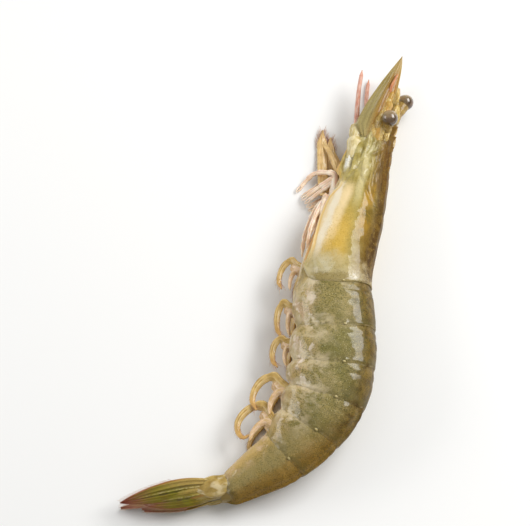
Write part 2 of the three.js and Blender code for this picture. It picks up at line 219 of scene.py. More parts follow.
def rod_blank(sides, rings):
    """Straight rod drawn out ring by ring from a filled circle; ring number is its z."""
    start()
    bpy.ops.mesh.primitive_circle_add(vertices=sides, radius=1, fill_type="NGON")
    obj = bpy.context.object
    bpy.ops.object.mode_set(mode="EDIT")
    bpy.ops.mesh.select_mode(type="FACE")
    bpy.ops.mesh.select_all(action="SELECT")
    for _ in range(rings):
        bpy.ops.mesh.extrude_region_move(TRANSFORM_OT_translate={"value": (0, 0, 1)})
    bpy.ops.mesh.select_all(action="SELECT")
    bpy.ops.mesh.normals_make_consistent(inside=False)
    bpy.ops.object.mode_set(mode="OBJECT")
    return obj


def sheet_blank(rows, cols):
    start()
    bpy.ops.mesh.primitive_grid_add(x_subdivisions=rows, y_subdivisions=cols, size=2)
    return bpy.context.object


def ball_blank(segments, rings):
    start()
    bpy.ops.mesh.primitive_uv_sphere_add(segments=segments, ring_count=rings, radius=1)
    return bpy.context.object


def copy_of(kind, a, b, name):
    """Own copy of a blank that is made once for each size, and its corners."""
    key = (kind.__name__, a, b)
    if key not in BLANKS:
        BLANKS[key] = kind(a, b)
        BLANKS[key].name = "blank"
    obj = BLANKS[key].copy()
    obj.data = BLANKS[key].data.copy()
    obj.name = obj.data.name = name
    bpy.context.scene.collection.objects.link(obj)
    return obj, corners(obj)


def corners(obj):
    co = np.empty(len(obj.data.vertices) * 3)
    obj.data.vertices.foreach_get("co", co)
    return co.reshape(-1, 3)


def settle(obj, points, *skin):
    """Moves the corners to their place and keeps three marks of where each lies on its piece as 'skin'."""
    obj.data.vertices.foreach_set("co", (np.asarray(points) * MM).ravel())
    mark = obj.data.attributes.new("skin", "FLOAT_VECTOR", "POINT")
    mark.data.foreach_set("vector", np.stack([v + 0.0 * skin[0] for v in skin], 1).ravel())
    obj.data.update()


def face_out(obj, inside):
    """Turns a sheet's faces away from a point inside each of its corners."""
    normals = np.empty(len(obj.data.vertices) * 3)
    obj.data.vertices.foreach_get("normal", normals)
    away = corners(obj) - np.asarray(inside) * MM
    if np.sum(normals.reshape(-1, 3) * away) < 0:
        pick(obj)
        bpy.ops.object.mode_set(mode="EDIT")
        bpy.ops.mesh.select_all(action="SELECT")
        bpy.ops.mesh.flip_normals()
        bpy.ops.object.mode_set(mode="OBJECT")


def thicken(obj, thickness):
    pick(obj)
    bpy.ops.object.modifier_add(type="SOLIDIFY")
    wall = obj.modifiers[-1]
    wall.thickness, wall.offset, wall.use_even_offset = thickness * MM, -1, False
    bpy.ops.object.modifier_apply(modifier=wall.name)


def dress(obj, finish):
    """Gives a piece its finish, hangs it on the body's root and hides the solid that the pieces stand for."""
    obj.data.materials.clear()
    obj.data.materials.append(finish)
    pick(obj)
    bpy.ops.object.shade_smooth_by_angle(angle=SMOOTHING_ANGLE)
    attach(obj, "root")
    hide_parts("shrimp")


class Path:
    """Smooth line through a few points, read by its share of length."""

    def __init__(self, points):
        p = np.asarray(points, float)
        ends = np.vstack([2 * p[0] - p[1], p, 2 * p[-1] - p[-2]])
        dense = []
        for i in range(len(p) - 1):
            a, b, c, d = ends[i:i + 4]
            t1 = np.linalg.norm(b - a) ** 0.5
            t2 = t1 + np.linalg.norm(c - b) ** 0.5
            t3 = t2 + np.linalg.norm(d - c) ** 0.5
            t = np.linspace(t1, t2, PATH_POINTS)[:, None]
            ab = ((t1 - t) * a + t * b) / t1
            bc = ((t2 - t) * b + (t - t1) * c) / (t2 - t1)
            cd = ((t3 - t) * c + (t - t2) * d) / (t3 - t2)
            abc = ((t2 - t) * ab + t * bc) / t2
            bcd = ((t3 - t) * bc + (t - t1) * cd) / (t3 - t1)
            dense.append(((t2 - t) * abc + (t - t1) * bcd) / (t2 - t1))
        self.p = np.vstack([dense[0]] + [q[1:] for q in dense[1:]])
        steps = np.linalg.norm(np.diff(self.p, axis=0), axis=1)
        run = np.concatenate([[0], np.cumsum(steps)])
        self.t = run / run[-1]

    def at(self, t):
        return np.stack([np.interp(t, self.t, self.p[:, i]) for i in range(3)], 1)

    def along(self, t):
        d = self.at(np.minimum(np.asarray(t) + 0.01, 1)) - self.at(np.maximum(np.asarray(t) - 0.01, 0))
        return unit(d)


def lay_along(path, t, flat):
    """Place, edge direction and face direction on a path, for a flat direction held steady."""
    at, along = path.at(t), path.along(t)
    flat = np.asarray(flat, float)
    edge = unit(flat - along * (along @ flat)[:, None])
    return at, edge, np.cross(along, edge)


def limb(name, points, flat, reach, thick, sides, rings, finish, mark=0.0, tilt=0.0):
    """Rod laid along a path; reach and thick are its half sizes, functions of share and turn.

    Flat is the direction of its reach, tilt turns it about its length, mark is a note for its finish.
    """
    obj, co = copy_of(rod_blank, sides, rings, name)
    t, turn = co[:, 2] / rings, np.arctan2(co[:, 1], co[:, 0])
    path = Path(points)
    at, edge, face = lay_along(path, t, flat)
    c, n = math.cos(tilt), math.sin(tilt)
    edge, face = edge * c + face * n, face * c - edge * n
    p = (at + edge * (reach(t, turn) * np.cos(turn))[:, None]
         + face * (thick(t, turn) * np.sin(turn))[:, None])
    settle(obj, keep_above(p, FLOOR_GAP), t, turn / np.pi, mark)
    dress(obj, finish)


# Finishes: wet shell, flesh, limbs, blades and eyes.
def tone(r, g, b):
    """Colour as seen on a screen, 0 to 255, to light."""
    light = (((v / 255 + 0.055) / 1.055) ** 2.4 if v > 10 else v / 255 / 12.92 for v in (r, g, b))
    return tuple(light) + (1.0,)


class Sock:
    """A value in a finish; sums on it add their own nodes."""

    def __init__(self, finish, socket):
        self.finish, self.socket = finish, socket

    def sum(self, operation, *others):
        return self.finish.node("ShaderNodeMath", {"operation": operation}, dict(enumerate(others)))

    def __add__(self, o): return self.sum("ADD", self, o)
    def __radd__(self, o): return self.sum("ADD", o, self)
    def __sub__(self, o): return self.sum("SUBTRACT", self, o)
    def __rsub__(self, o): return self.sum("SUBTRACT", o, self)
    def __mul__(self, o): return self.sum("MULTIPLY", self, o)
    def __rmul__(self, o): return self.sum("MULTIPLY", o, self)
    def __abs__(self): return self.sum("ABSOLUTE", self)

    def rise(self, low, high):
        return self.finish.node("ShaderNodeMapRange", {"interpolation_type": "SMOOTHSTEP"},
                                {0: self, 1: low, 2: high, 3: 0.0, 4: 1.0})

    def fall(self, low, high):
        return 1 - self.rise(low, high)

    def band(self, low, full, drop, end):
        return self.rise(low, full) * self.fall(drop, end)

    def near(self, middle, full, end):
        return abs(self - middle).fall(full, end)

    def sway(self, amount):
        """A cloudy pattern as a push to both sides."""
        return (self - 0.5) * amount


class Finish:
    """One finish and its nodes.

    The marks on a piece's skin are read as run (along it), turn and round (about it) and edge.
    """

    def __init__(self, name, **constants):
        self.material = bpy.data.materials.new(name)
        self.material.use_nodes = True
        self.tree = self.material.node_tree
        self.tree.nodes.clear()
        surface = self.tree.nodes.new("ShaderNodeOutputMaterial").inputs[0]
        self.shader = self.tree.nodes.new("ShaderNodeBsdfPrincipled")
        self.tree.links.new(self.shader.outputs[0], surface)
        for key, value in constants.items():
            self.shader.inputs[key.replace("_", " ")].default_value = value
        self.place = self.node("ShaderNodeTexCoord", {}, {}, "Object")
        self.where = self.node("ShaderNodeAttribute", {"attribute_name": "skin"}, {}, "Vector")
        apart = self.node("ShaderNodeSeparateXYZ", {}, {0: self.where}).socket.node
        self.run, self.turn, self.edge = (Sock(self, apart.outputs[i]) for i in range(3))
        self.round = abs(self.turn)

    def node(self, kind, settings, sockets, out=0):
        """A node of a kind with its settings, and the values or links of its sockets; gives one output."""
        made = self.tree.nodes.new(kind)
        for key, value in settings.items():
            setattr(made, key, value)
        for key, value in sockets.items():
            if isinstance(value, Sock):
                self.tree.links.new(value.socket, made.inputs[key])
            else:
                made.inputs[key].default_value = value
        return Sock(self, made.outputs[out])

    def noise(self, size, detail, rough=0.5, warp=0.0, vector=None):
        """Cloudy pattern, 0 to 1, with features about size millimetres across."""
        return self.node("ShaderNodeTexNoise", {}, {
            "Vector": vector or self.place, "Scale": 1 / (size * MM), "Detail": detail, "Roughness": rough,
            "Distortion": warp})

    def streaks(self, along, around, detail=3, rough=0.5, warp=0.0):
        """Cloudy pattern drawn out over the skin, with so many features along a piece and around it."""
        skin = self.node("ShaderNodeVectorMath", {"operation": "MULTIPLY"},
                         {0: self.where, 1: (along, around, 0)})
        return self.noise(1 / MM, detail, rough, warp, skin)

    def cells(self, size, out="Distance"):
        return self.node("ShaderNodeTexVoronoi", {}, {"Vector": self.place, "Scale": 1 / (size * MM)}, out)

    def mix(self, share, a, b):
        """Blend of two colours, each a screen tone or a value of this finish."""
        a, b = (tone(*colour) if isinstance(colour, tuple) else colour for colour in (a, b))
        return self.node("ShaderNodeMix", {"data_type": "RGBA"}, {0: share, 6: a, 7: b}, 2)

    def lay(self, share, colour):
        """Lays a share of a colour over the base as it is so far."""
        self.base = self.mix(share, self.base, colour)

    def specks(self, size, reach, amount):
        """Small round dots of uneven size; amount is the share of cells that has one."""
        far = self.cells(size)
        luck = self.node("ShaderNodeSeparateColor", {}, {0: self.cells(size, "Color")})
        return far.fall(reach * 0.45, reach) * luck.rise(1 - amount, 1 - amount + 0.05)

    def set(self, socket, value):
        self.tree.links.new(value.socket, self.shader.inputs[socket])

    def relief(self, height, depth, strength):
        self.set("Normal", self.node("ShaderNodeBump", {}, {
            "Strength": strength, "Distance": depth * MM, "Height": height}))


def shell_constants(deep=0.2):
    """What a wet, slightly see-through skin has all over; deep is how far light goes into it."""
    return dict(Subsurface_Weight=deep, Subsurface_Radius=(0.9, 0.7, 0.4), Subsurface_Scale=0.0018,
                IOR=1.45, Specular_IOR_Level=0.12, Coat_Roughness=0.035, Coat_IOR=1.39)


def wet(f, fine, depth=0.06, dry=0.0):
    """Closes a finish: colour, a film of water with a few drier spots, and a fine grain."""
    f.set("Base Color", f.base)
    film = f.noise(3.5, 3)
    f.set("Roughness", 0.34 + film * 0.16 + fine * 0.14)
    f.set("Coat Weight", (0.45 + film.rise(0.3, 0.5) * 0.5) * (1 - dry))
    f.relief(f.noise(1.4, 2) * 0.4 + fine * 0.4 + f.noise(0.3, 2) * 0.2, depth, 0.8)
    return f.material


def carapace_finish():
    """Head shield: olive, with a brown ridge darkened further by painted shade, amber and cream flanks, a
    pale cheek whose white patch is a painted highlight, fine stipple, and painted highlights in streaks and a
    glint over the flank and rear.
    """
    f = Finish("carapace_shell", **shell_constants())
    cloud, mid, fine = f.noise(5.5, 4, 0.6), f.noise(2.2, 4, 0.6), f.noise(0.7, 3, 0.6)
    line = f.round * 180 + cloud.sway(14) + fine.sway(6)
    s = f.run * 10 + mid.sway(4)
    f.base = f.mix(mid.rise(0.3, 0.7), (156, 139, 70), (176, 158, 90))
    f.lay(cloud.rise(0.5, 0.66) * 0.5, (190, 176, 122))
    flank = line.fall(24, 66)
    f.lay(flank * s.rise(22, 32) * 0.85, (122, 92, 16))
    f.lay(flank * s.fall(14, 24) * 0.8, (130, 96, 34))
    liver = line.band(22, 34, 46, 60) * s.rise(13, 20) * s.fall(27, 38)
    f.lay(liver * mid.rise(0.25, 0.5) * 0.85, (172, 130, 22))
    spot = line.band(20, 32, 40, 54) * s.near(26, 0.6, 3.4)
    f.lay(spot * fine.rise(0.25, 0.55) * 0.8, (96, 84, 20))
    # Brown ridge along the back: the shell's own brown, darkened further as painted shade.
    ridge = line.fall(8, 46)
    brown = f.mix(s.fall(12, 26), (70, 42, 2), (96, 62, 14))
    brown = f.mix(mid.rise(0.38, 0.62) * 0.7, brown, (122, 92, 30))
    f.lay(ridge * 0.9, brown)
    crease = f.streaks(1.4, 24, 3, 0.6, 0.3).rise(0.46, 0.6) * s.fall(15, 24) * line.fall(46, 70)
    f.lay(crease * 0.55, (78, 58, 24))
    amber = line.band(48, 76, 98, 112) * s.rise(20, 34) * s.fall(38, 46)
    f.lay(amber * 0.86, (210, 170, 74))
    bound = line - 60 - s * 0.92
    cream = bound.rise(-9, 10) * s.rise(15, 21) * s.fall(37, 46)
    f.lay(cream * 0.95, (238, 210, 160))
    # Painted highlight: a pale streak low on the cream flank.
    painted_sheen = cream * abs(line - 108 + mid.sway(14)).fall(3, 12)
    f.lay(painted_sheen * 0.7, (248, 236, 212))
    rim = cream * f.edge.rise(0.2, 0.7) * f.edge.fall(0.9, 1.7)
    f.lay(rim * 0.7, (222, 178, 92))
    veil = (s + cloud.sway(16) + fine.sway(4)).rise(39, 50)
    f.lay(veil * 0.8, (198, 182, 142))
    dusk = (s + cloud.sway(9) + fine.sway(4)).rise(45, 48) * line.fall(96, 118)
    f.lay(dusk * 0.9, (144, 127, 74))
    # Painted highlight: pale wisps over the rear of the head shield.
    highlight_wisp = f.streaks(1.6, 5, 4, 0.6, 0.6).rise(0.5, 0.68)
    f.lay(highlight_wisp * s.rise(38, 45) * 0.5, (214, 206, 178))
    front = s.fall(5, 17) * line.rise(30, 62)
    f.lay(front * mid.rise(0.4, 0.6) * 0.6, (196, 186, 136))
    f.lay(front * fine.rise(0.5, 0.66) * cloud.fall(0.4, 0.6) * 0.6, (132, 122, 66))
    # Painted highlight: a white patch low on the cheek.
    lens = line.near(113, 4, 11) * s.rise(4, 6.5) * s.fall(10.5, 13.5)
    f.lay(lens * 0.95, (244, 240, 226))
    # Painted highlight: a pale streak along the middle of the flank.
    pale = line.near(66, 3, 11) * s.rise(6, 9) * s.fall(18, 27)
    f.lay(pale * 0.55, (218, 204, 156))
    cheek = s.fall(12, 17) * line.rise(100, 112)
    f.lay(cheek * f.edge.fall(0.8, 2.2) * 0.9, (216, 166, 70))
    f.lay(cheek * f.edge.near(2.3, 0.1, 0.5) * 0.5, (122, 92, 40))
    # Painted highlight: a white glint at the rear edge of the head shield.
    painted_gleam = s.near(46, 0.4, 1.8) * line.near(42, 3, 12) * mid.rise(0.36, 0.56)
    f.lay(painted_gleam * 0.7, (234, 228, 214))
    f.lay(amber * f.specks(0.55, 0.46, 0.8) * 0.35, (170, 132, 44))
    f.lay(amber * f.specks(0.7, 0.4, 0.5) * 0.3, (232, 202, 124))
    stipple = f.specks(0.4, 0.42, 0.7) * (1 - cream * 0.9) * (1 - amber * 0.6)
    f.lay(stipple * (0.2 + cloud.fall(0.4, 0.65) * 0.3 + dusk * 0.3), (86, 74, 36))
    f.lay(ridge * f.specks(0.5, 0.46, 0.9) * 0.55, (52, 36, 8))
    f.lay(ridge * f.specks(0.8, 0.34, 0.4) * 0.35, (176, 148, 84))
    return wet(f, fine, dry=ridge * 0.9)


def abdomen_finish():
    """Body plates: green-brown under dense dark stipple, a brown back darkened further by painted shade,
    paler and pinker low on the sides, painted shade inside the rear edges, and painted highlights as wisps,
    glints and a pale band on the last plate's rear edge.
    """
    f = Finish("abdomen_shell", **shell_constants())
    cloud, mid, fine = f.noise(6.5, 4, 0.55), f.noise(2.4, 4, 0.6), f.noise(0.7, 3, 0.6)
    line = f.round * 180 + mid.sway(16)
    s = f.run * 10 + mid.sway(3)
    f.base = f.mix(mid.rise(0.28, 0.72), (137, 123, 68), (155, 139, 84))
    f.lay(cloud.rise(0.46, 0.7) * 0.55, (181, 163, 119))
    f.lay(f.noise(8, 3, 0.5).rise(0.44, 0.64) * 0.7, (109, 104, 46))
    # Brown back: the shell's own brown, darkened further as painted shade.
    ridge = line.fall(16, 60)
    f.lay(ridge * 0.86, f.mix(mid.rise(0.36, 0.62), (86, 58, 8), (120, 92, 26)))
    f.lay(f.round.fall(0.006, 0.03) * cloud.rise(0.3, 0.5) * 0.5, (56, 40, 10))
    rear = s.rise(82, 106)
    f.lay(rear * line.fall(24, 90) * 0.8, (150, 108, 26))
    f.lay(rear * 0.55, (132, 104, 40))
    f.lay(rear * f.noise(4, 3).rise(0.45, 0.65) * 0.25, (172, 134, 58))
    f.lay(rear * line.rise(46, 70) * line.fall(84, 108) * 0.6, (148, 134, 86))
    f.lay(s.rise(100, 106) * line.rise(98, 122) * 0.6, (184, 144, 62))
    dash = f.streaks(5, 34, 2).rise(0.6, 0.67) * s.rise(103, 107) * line.fall(46, 70)
    f.lay(dash * 0.55, (72, 54, 14))
    low = line.rise(82, 122)
    f.lay(low * 0.6, (204, 172, 110))
    f.lay(low * f.noise(3.2, 2).rise(0.48, 0.62) * 0.6, (208, 174, 146))
    dense = (0.42 + cloud.fall(0.4, 0.65) * 0.45) * (1 - rear * 0.45)
    clear = line.fall(108, 142)
    f.lay(f.specks(0.52, 0.46, 0.95) * clear * dense * 0.75, (76, 77, 38))
    f.lay(f.specks(0.33, 0.5, 0.85) * clear * dense * 0.9, (60, 63, 30))
    f.lay(f.specks(0.42, 0.4, 0.4) * (0.4 - rear * 0.25) * (1 - ridge), (208, 200, 156))
    f.lay(f.specks(0.46, 0.48, 0.95) * ridge * 0.55, (54, 42, 12))
    # Painted shade: a dark band just inside each plate's rear edge, then a thin pale line on the edge itself.
    edge_mottle = f.noise(1.8, 3)
    f.lay(f.edge.band(0.1, 0.6, 0.6, 3.8) * edge_mottle.rise(0.3, 0.56) * 0.5, (90, 82, 40))
    f.lay(f.edge.fall(0.05, 0.5) * edge_mottle.rise(0.4, 0.6) * (0.26 - rear * 0.2), (200, 184, 140))
    bloom = sum(abs(s - at - 0.8).fall(0.8, 3.8) for at in (H1, H2, H3, H4)) * line.rise(62, 92)
    f.lay(bloom * mid.rise(0.4, 0.58) * 0.6, (212, 192, 156))
    # Painted highlight: a whitish band along the last plate's rear edge.
    hem_highlight = f.edge.fall(0.2, 1.5) * s.rise(H6 - 5, H6 - 3) * line.rise(40, 80)
    f.lay(hem_highlight * fine.rise(0.35, 0.6) * 0.85, (218, 208, 184))
    # Painted highlight: pale wisps, mostly low on the flanks and at the front of the first plate.
    highlight_wisp = f.streaks(2.2, 5.5, 4, 0.65, 0.7).rise(0.46, 0.68)
    # Painted highlight: small pinkish-white glints low on the flanks.
    painted_glint = f.noise(3, 2, 0.6, 0.2).rise(0.57, 0.68) * line.rise(84, 104) * (1 - rear)
    f.lay(painted_glint * 0.75, (234, 216, 196))
    pale = 0.06 + line.rise(60, 100) * 0.66 + s.fall(49.5, 53) * line.rise(30, 60) * 0.5
    f.lay(highlight_wisp * pale * (1 - rear * 0.75), (208, 190, 154))
    return wet(f, fine, dry=line.fall(6, 42) * 0.65)


def plain_finish(name, light, dark, accent, size, accent_share=0.4, tip=None, fibre=(5, 9)):
    """Wet limb: two tones in soft clouds, an accent in streaks along it, and a tinted tip; on the swimming
    legs and the tail root the accent is a painted highlight.
    """
    f = Finish(name, **shell_constants(0.25))
    cloud, fine = f.noise(size * 2.5, 3), f.noise(size * 0.5, 3)
    f.base = f.mix(cloud.rise(0.35, 0.65), light, dark)
    streak = f.streaks(*fibre)
    f.lay(streak.rise(0.48, 0.64) * accent_share, accent)
    if tip:
        f.lay((f.run + cloud.sway(0.2)).rise(tip[1], tip[2]) * tip[3], tip[0])
    return wet(f, fine)


def leg_finish():
    """Walking leg: cream with a reddish line along it; its mark says how far it browns."""
    f = Finish("leg_skin", **shell_constants(0.3))
    cloud, fine = f.noise(2.2, 3), f.noise(0.5, 3)
    f.base = f.mix(cloud.rise(0.35, 0.65), (250, 232, 210), (242, 212, 184))
    streak = abs(f.turn - 0.08 + cloud.sway(0.12)).fall(0.02, 0.08) * fine.rise(0.2, 0.45)
    f.lay(streak * 0.55, (204, 128, 106))
    f.lay(f.edge * cloud.rise(0.3, 0.6), (206, 164, 108))
    return wet(f, fine)


def blade_finish(name, light, dark, root, tip, margin, lines, inside=None, upper=None, glow=None):
    """Ribbed blade: pale root, tinted tip and margin, dark lines along it between the ribs, and painted
    highlights beside two of them.
    """
    f = Finish(name, **shell_constants(0.2))
    cloud, fine, grain = f.noise(3, 3), f.noise(0.6, 3), f.noise(0.3, 2)
    t = f.run + cloud.sway(0.25)
    across = f.turn + fine.sway(0.06)
    streak = f.streaks(3, 16)
    f.base = f.mix(streak.rise(0.35, 0.65), light, dark)
    f.lay(t.fall(0.08, 0.36) * 0.75, root)
    if inside:
        f.lay(across.fall(-0.35, 0.45) * 0.85, inside)
    if upper:
        f.lay((across + cloud.sway(0.6)).rise(0.1, 0.6) * t.fall(0.35, 0.8) * 0.75, upper)
    for where, share in lines:
        f.lay(across.near(where, 0.02, 0.09) * t.rise(0.02, 0.15) * share, (70, 58, 22))
    for where, share in lines[:2]:
        # Painted highlights: pale lines beside the first two dark lines.
        painted_gleam = abs(across - where - 0.2).fall(0.01, 0.07) * fine.rise(0.35, 0.6) * t.fall(0.5, 0.9)
        f.lay(painted_gleam * share * 0.5, (222, 206, 156))
    f.lay(grain.rise(0.54, 0.64) * 0.35, (84, 74, 40))
    f.lay(abs(across).rise(0.8, 0.97) * t.rise(0.2, 0.5) * 0.75, margin)
    if glow:
        f.lay(t.band(0.3, 0.5, 0.6, 0.8) * cloud.rise(0.4, 0.6) * 0.42, glow)
    f.lay(t.rise(0.66, 0.95) * 0.9, tip)
    if glow:
        f.lay(t.rise(0.55, 0.8) * streak.rise(0.5, 0.64) * 0.5, (178, 122, 100))
    return wet(f, fine, 0.09)


def flesh_finish():
    """Flesh: pale, with orange strands under the head and brown at both ends."""
    f = Finish("flesh", **shell_constants(0.35))
    cloud, fine = f.noise(3, 3), f.noise(0.8, 3)
    f.base = f.mix(cloud.rise(0.35, 0.65), (212, 196, 156), (186, 170, 124))
    strand = f.streaks(0.6, 26)
    low = f.round.rise(0.62, 0.72)
    f.lay(strand.rise(0.46, 0.58) * low, (222, 170, 102))
    f.lay(strand.fall(0.36, 0.44) * low * 0.8, (232, 214, 190))
    f.lay(f.run.rise(11.85, 12.0), (138, 116, 62))
    brow = f.mix(fine.rise(0.36, 0.62), (150, 118, 54), (116, 86, 38))
    f.lay(f.run.fall(0.25, 0.6) * 0.92, brow)
    return wet(f, fine)


def eye_finish():
    """Eye: dark glass with fine facets, paler toward the front as a painted reflection."""
    f = Finish("eye_glass", Coat_Roughness=0.03, IOR=1.5, Subsurface_Weight=0.15, Subsurface_Scale=0.001)
    cloud = f.noise(1.6, 3)
    f.base = f.mix(cloud.rise(0.35, 0.7), (68, 48, 30), (108, 84, 56))
    # Painted reflection: paler toward the side marked on the ball.
    f.lay((f.run + cloud.sway(0.5)).rise(-0.4, 0.9) * 0.8, (168, 144, 104))
    f.lay(f.edge.fall(-0.8, -0.45) * 0.8, (150, 122, 66))
    f.set("Base Color", f.base)
    f.set("Roughness", 0.16 + cloud * 0.12)
    f.set("Coat Weight", 0.8 + cloud * 0.2)
    f.relief(f.cells(0.16), 0.02, 0.35)
    return f.material


CARAPACE, ABDOMEN, LEG_SKIN = carapace_finish(), abdomen_finish(), leg_finish()
EYE_SKIN, FLESH = eye_finish(), flesh_finish()
TAIL_SKIN = blade_finish("tail_blade", (140, 120, 22), (96, 84, 10), (188, 162, 98), (112, 40, 34),
                         (142, 70, 48), ((-0.12, 0.85), (-0.04, 0.5), (0.36, 0.5), (-0.6, 0.25)),
                         upper=(180, 152, 84), glow=(122, 122, 8))
SCALE_SKIN = blade_finish("antenna_blade", (156, 136, 76), (134, 118, 62), (180, 164, 110), (170, 146, 88),
                          (154, 138, 84), ((-0.5, 0.3), (-0.18, 0.3), (0.3, 0.26), (0.66, 0.16)),
                          inside=(166, 114, 38), upper=(158, 144, 94))
STALK_SKIN = plain_finish("eye_stalk", (180, 150, 84), (152, 124, 66), (100, 78, 42), 0.8)
LOBE_SKIN = plain_finish("head_lobe", (194, 164, 88), (160, 128, 60), (222, 206, 156), 0.5, 0.6)
LASH_SKIN = plain_finish("antennule_lash", (208, 146, 104), (198, 126, 88), (214, 170, 118), 0.6, 0.4)
BASE_SKIN = plain_finish("antenna_root", (216, 200, 150), (186, 166, 104), (234, 222, 186), 0.7, 0.6)
# Tail root: its pale accent streaks are painted highlights.
STUB_SKIN = plain_finish("tail_root", (176, 150, 84), (146, 120, 58), (224, 210, 172), 0.9, 0.55,
                         fibre=(3, 4))
STEM_SKIN = plain_finish("antennule_stem", (196, 160, 80), (168, 132, 62), (198, 140, 76), 0.6)
FEELER_SKIN = plain_finish("feeler", (216, 162, 140), (196, 130, 108), (206, 196, 184), 0.7, 0.6)
ROSTRUM_SKIN = plain_finish("rostrum_shell", (142, 112, 54), (120, 90, 40), (92, 66, 28), 0.9)
# Swimming legs: their pale accent streaks are painted highlights.
PLEOPOD_SKIN = plain_finish("swimming_leg", (194, 162, 92), (168, 134, 64), (234, 212, 164), 0.7, 0.75,
                            tip=((190, 140, 80), 0.6, 1.0, 0.6), fibre=(2.4, 17))
ROOT_SKIN = plain_finish("swimming_leg_root", (216, 184, 146), (196, 162, 110), (232, 206, 184), 0.8, 0.6)
MOUTH_SKIN = plain_finish("mouth_limb_skin", (226, 192, 132), (206, 170, 110), (240, 216, 172), 0.7, 0.6,
                          fibre=(2.4, 15))
BRISTLE_SKIN = plain_finish("bristle", (190, 142, 100), (168, 112, 78), (140, 84, 60), 0.8)
HINGE_SKIN = plain_finish("hinge_knob", (184, 168, 116), (168, 152, 100), (156, 140, 92), 0.4, 0.3)


# Shell plates and the flesh under them.
# Edges of the head shield: front and rear station by angle from the back, lower margin by station.
CARAPACE_FRONT = profile((0, 0.6), (25, 0.6), (44, 1.8), (62, 0.8), (75, -1.6), (86, 0.2), (104, 0.4),
                         (122, 1.6), (140, 4.6))
CARAPACE_REAR = profile((0, NAPE - 2.4), (30, NAPE - 1.2), (62, NAPE + 0.5), (100, NAPE + 0.4),
                        (115, NAPE - 0.6), (128, NAPE - 3))
CARAPACE_MARGIN = profile((0, 114), (3, 131), (7, 140), (11, 138), (14, 125), (17.5, 113), (20, 122),
                          (23, 133), (31, 131), (40, 121), (45, 123), (NAPE, 127))
# Grooves of the head shield: station by angle.
HEPATIC_GROOVE = profile((20, 3.6), (58, 7), (82, 10), (102, 16))
CERVICAL_GROOVE = profile((8, 25), (36, 21.5), (66, 15.5), (90, 11))
# Rear edges of the body plates past their hinge, by angle: those with side flaps, and the last one.
FLAPPED_REAR = profile((0, -0.5), (58, 0.1), (105, 0.4), (130, -0.1), (150, -1.8))
LAST_REAR = profile((0, 0.6), (30, 0), (90, 0.4), (180, -0.4))
PLATE_ROW = 0.27
KEELED_FROM = 3


def plate(obj, s, turn, grow, lobe, edge, wall, finish):
    """Puts a sheet on the body and makes it a shell plate; edge is the way from each corner to the rim."""
    p = body_point(s, *section(s, turn, grow, lobe), FLOOR_GAP)
    settle(obj, p, s / 10, turn / np.pi, np.clip(edge, 0, 5))
    face_out(obj, body_point(s, 0 * s, 0 * s))
    thicken(obj, wall)
    dress(obj, finish)


def carapace():
    """Head shield with its ridge, grooves, spines and notched lower margin."""
    obj, co = copy_of(sheet_blank, 150, 170, "carapace")
    u = (co[:, 0] + 1) / 2
    limit = CARAPACE_MARGIN(NAPE * u)
    turn = co[:, 1] * np.radians(limit)
    a = np.degrees(np.abs(turn))
    front, rear = CARAPACE_FRONT(a), CARAPACE_REAR(a)
    s = front + (rear - front) * u
    plain = body_point(s, *section(s, turn))
    ragged = 0.25 * rough(plain, 3.2, 21)
    rear_edge = rear + ragged
    s = np.minimum(s + ragged * smooth(u, 0.9, 1), NAPE + 1.1)
    ahead = fade(s, 5, 13)
    wrinkle = rough(np.stack([s * 0.3, a * 0.16, 0 * s], 1), 1.0, 17)
    grow = (0.1
            # Ridge along the back and the furrow on each side of it.
            + 0.5 * bell(turn * 9, 1.1) * fade(s, 28, 42)
            - 0.14 * bell(np.abs(turn) * 9 - 2.2, 0.9) * fade(s, 12, 24)
            # Two grooves down the flank, and the spine between them.
            - 0.5 * bell(s - HEPATIC_GROOVE(a), 0.8) * smooth(a, 22, 40) * fade(a, 96, 108)
            - 0.3 * bell(s - CERVICAL_GROOVE(a), 0.9) * smooth(a, 12, 30) * fade(a, 80, 94)
            + 0.55 * bell(np.hypot(s - 11.6, (a - 66) * 0.13), 0.8)
            # Rim behind the eye, and the ribs and furrow below it.
            + 0.3 * bell(s - front - 0.5, 0.5) * bell(a - 44, 22)
            + 0.5 * bell(a - 74, 5) * ahead
            - 0.35 * bell(a - 86, 4.5) * ahead
            + 0.45 * bell(a - 98, 5) * ahead
            # Keel along the side, rolled lower margin and rear rim.
            + 0.14 * bell(a - 97, 6) * smooth(s, 13, 20)
            + 0.3 * smooth(a, limit - 5, limit - 1.5) * smooth(s, 12, 20)
            + 0.1 * smooth(s, rear_edge - 1.6, rear_edge - 0.6)
            - 0.2 * smooth(s, rear_edge - 0.6, rear_edge)
            # Full cheek with its swollen margin, its pad and the crease above the pad.
            + 0.7 * smooth(a, 112, 134) * fade(s, 11, 16)
            + 0.4 * smooth(a, limit - 13, limit - 9) * fade(s, 12, 16) * smooth(a, 96, 108)
            + 0.4 * bell(a - 113, 4.5) * smooth(s, 5, 7.5) * fade(s, 10.5, 13)
            - 0.35 * bell(a - 103.5, 3) * smooth(s, 5, 7) * fade(s, 11, 14)
            # Small folds at the front, and an uneven shell all over.
            + 0.34 * wrinkle * fade(s, 12, 20) * smooth(a, 16, 30)
            + 0.13 * rough(plain, 4.5) + 0.05 * rough(plain, 1.7, 9))
    edge = np.minimum(np.minimum(rear_edge - s, (limit - a) * 0.17), s - front)
    plate(obj, s, turn, grow, 1, edge, CARAPACE_WALL, CARAPACE)


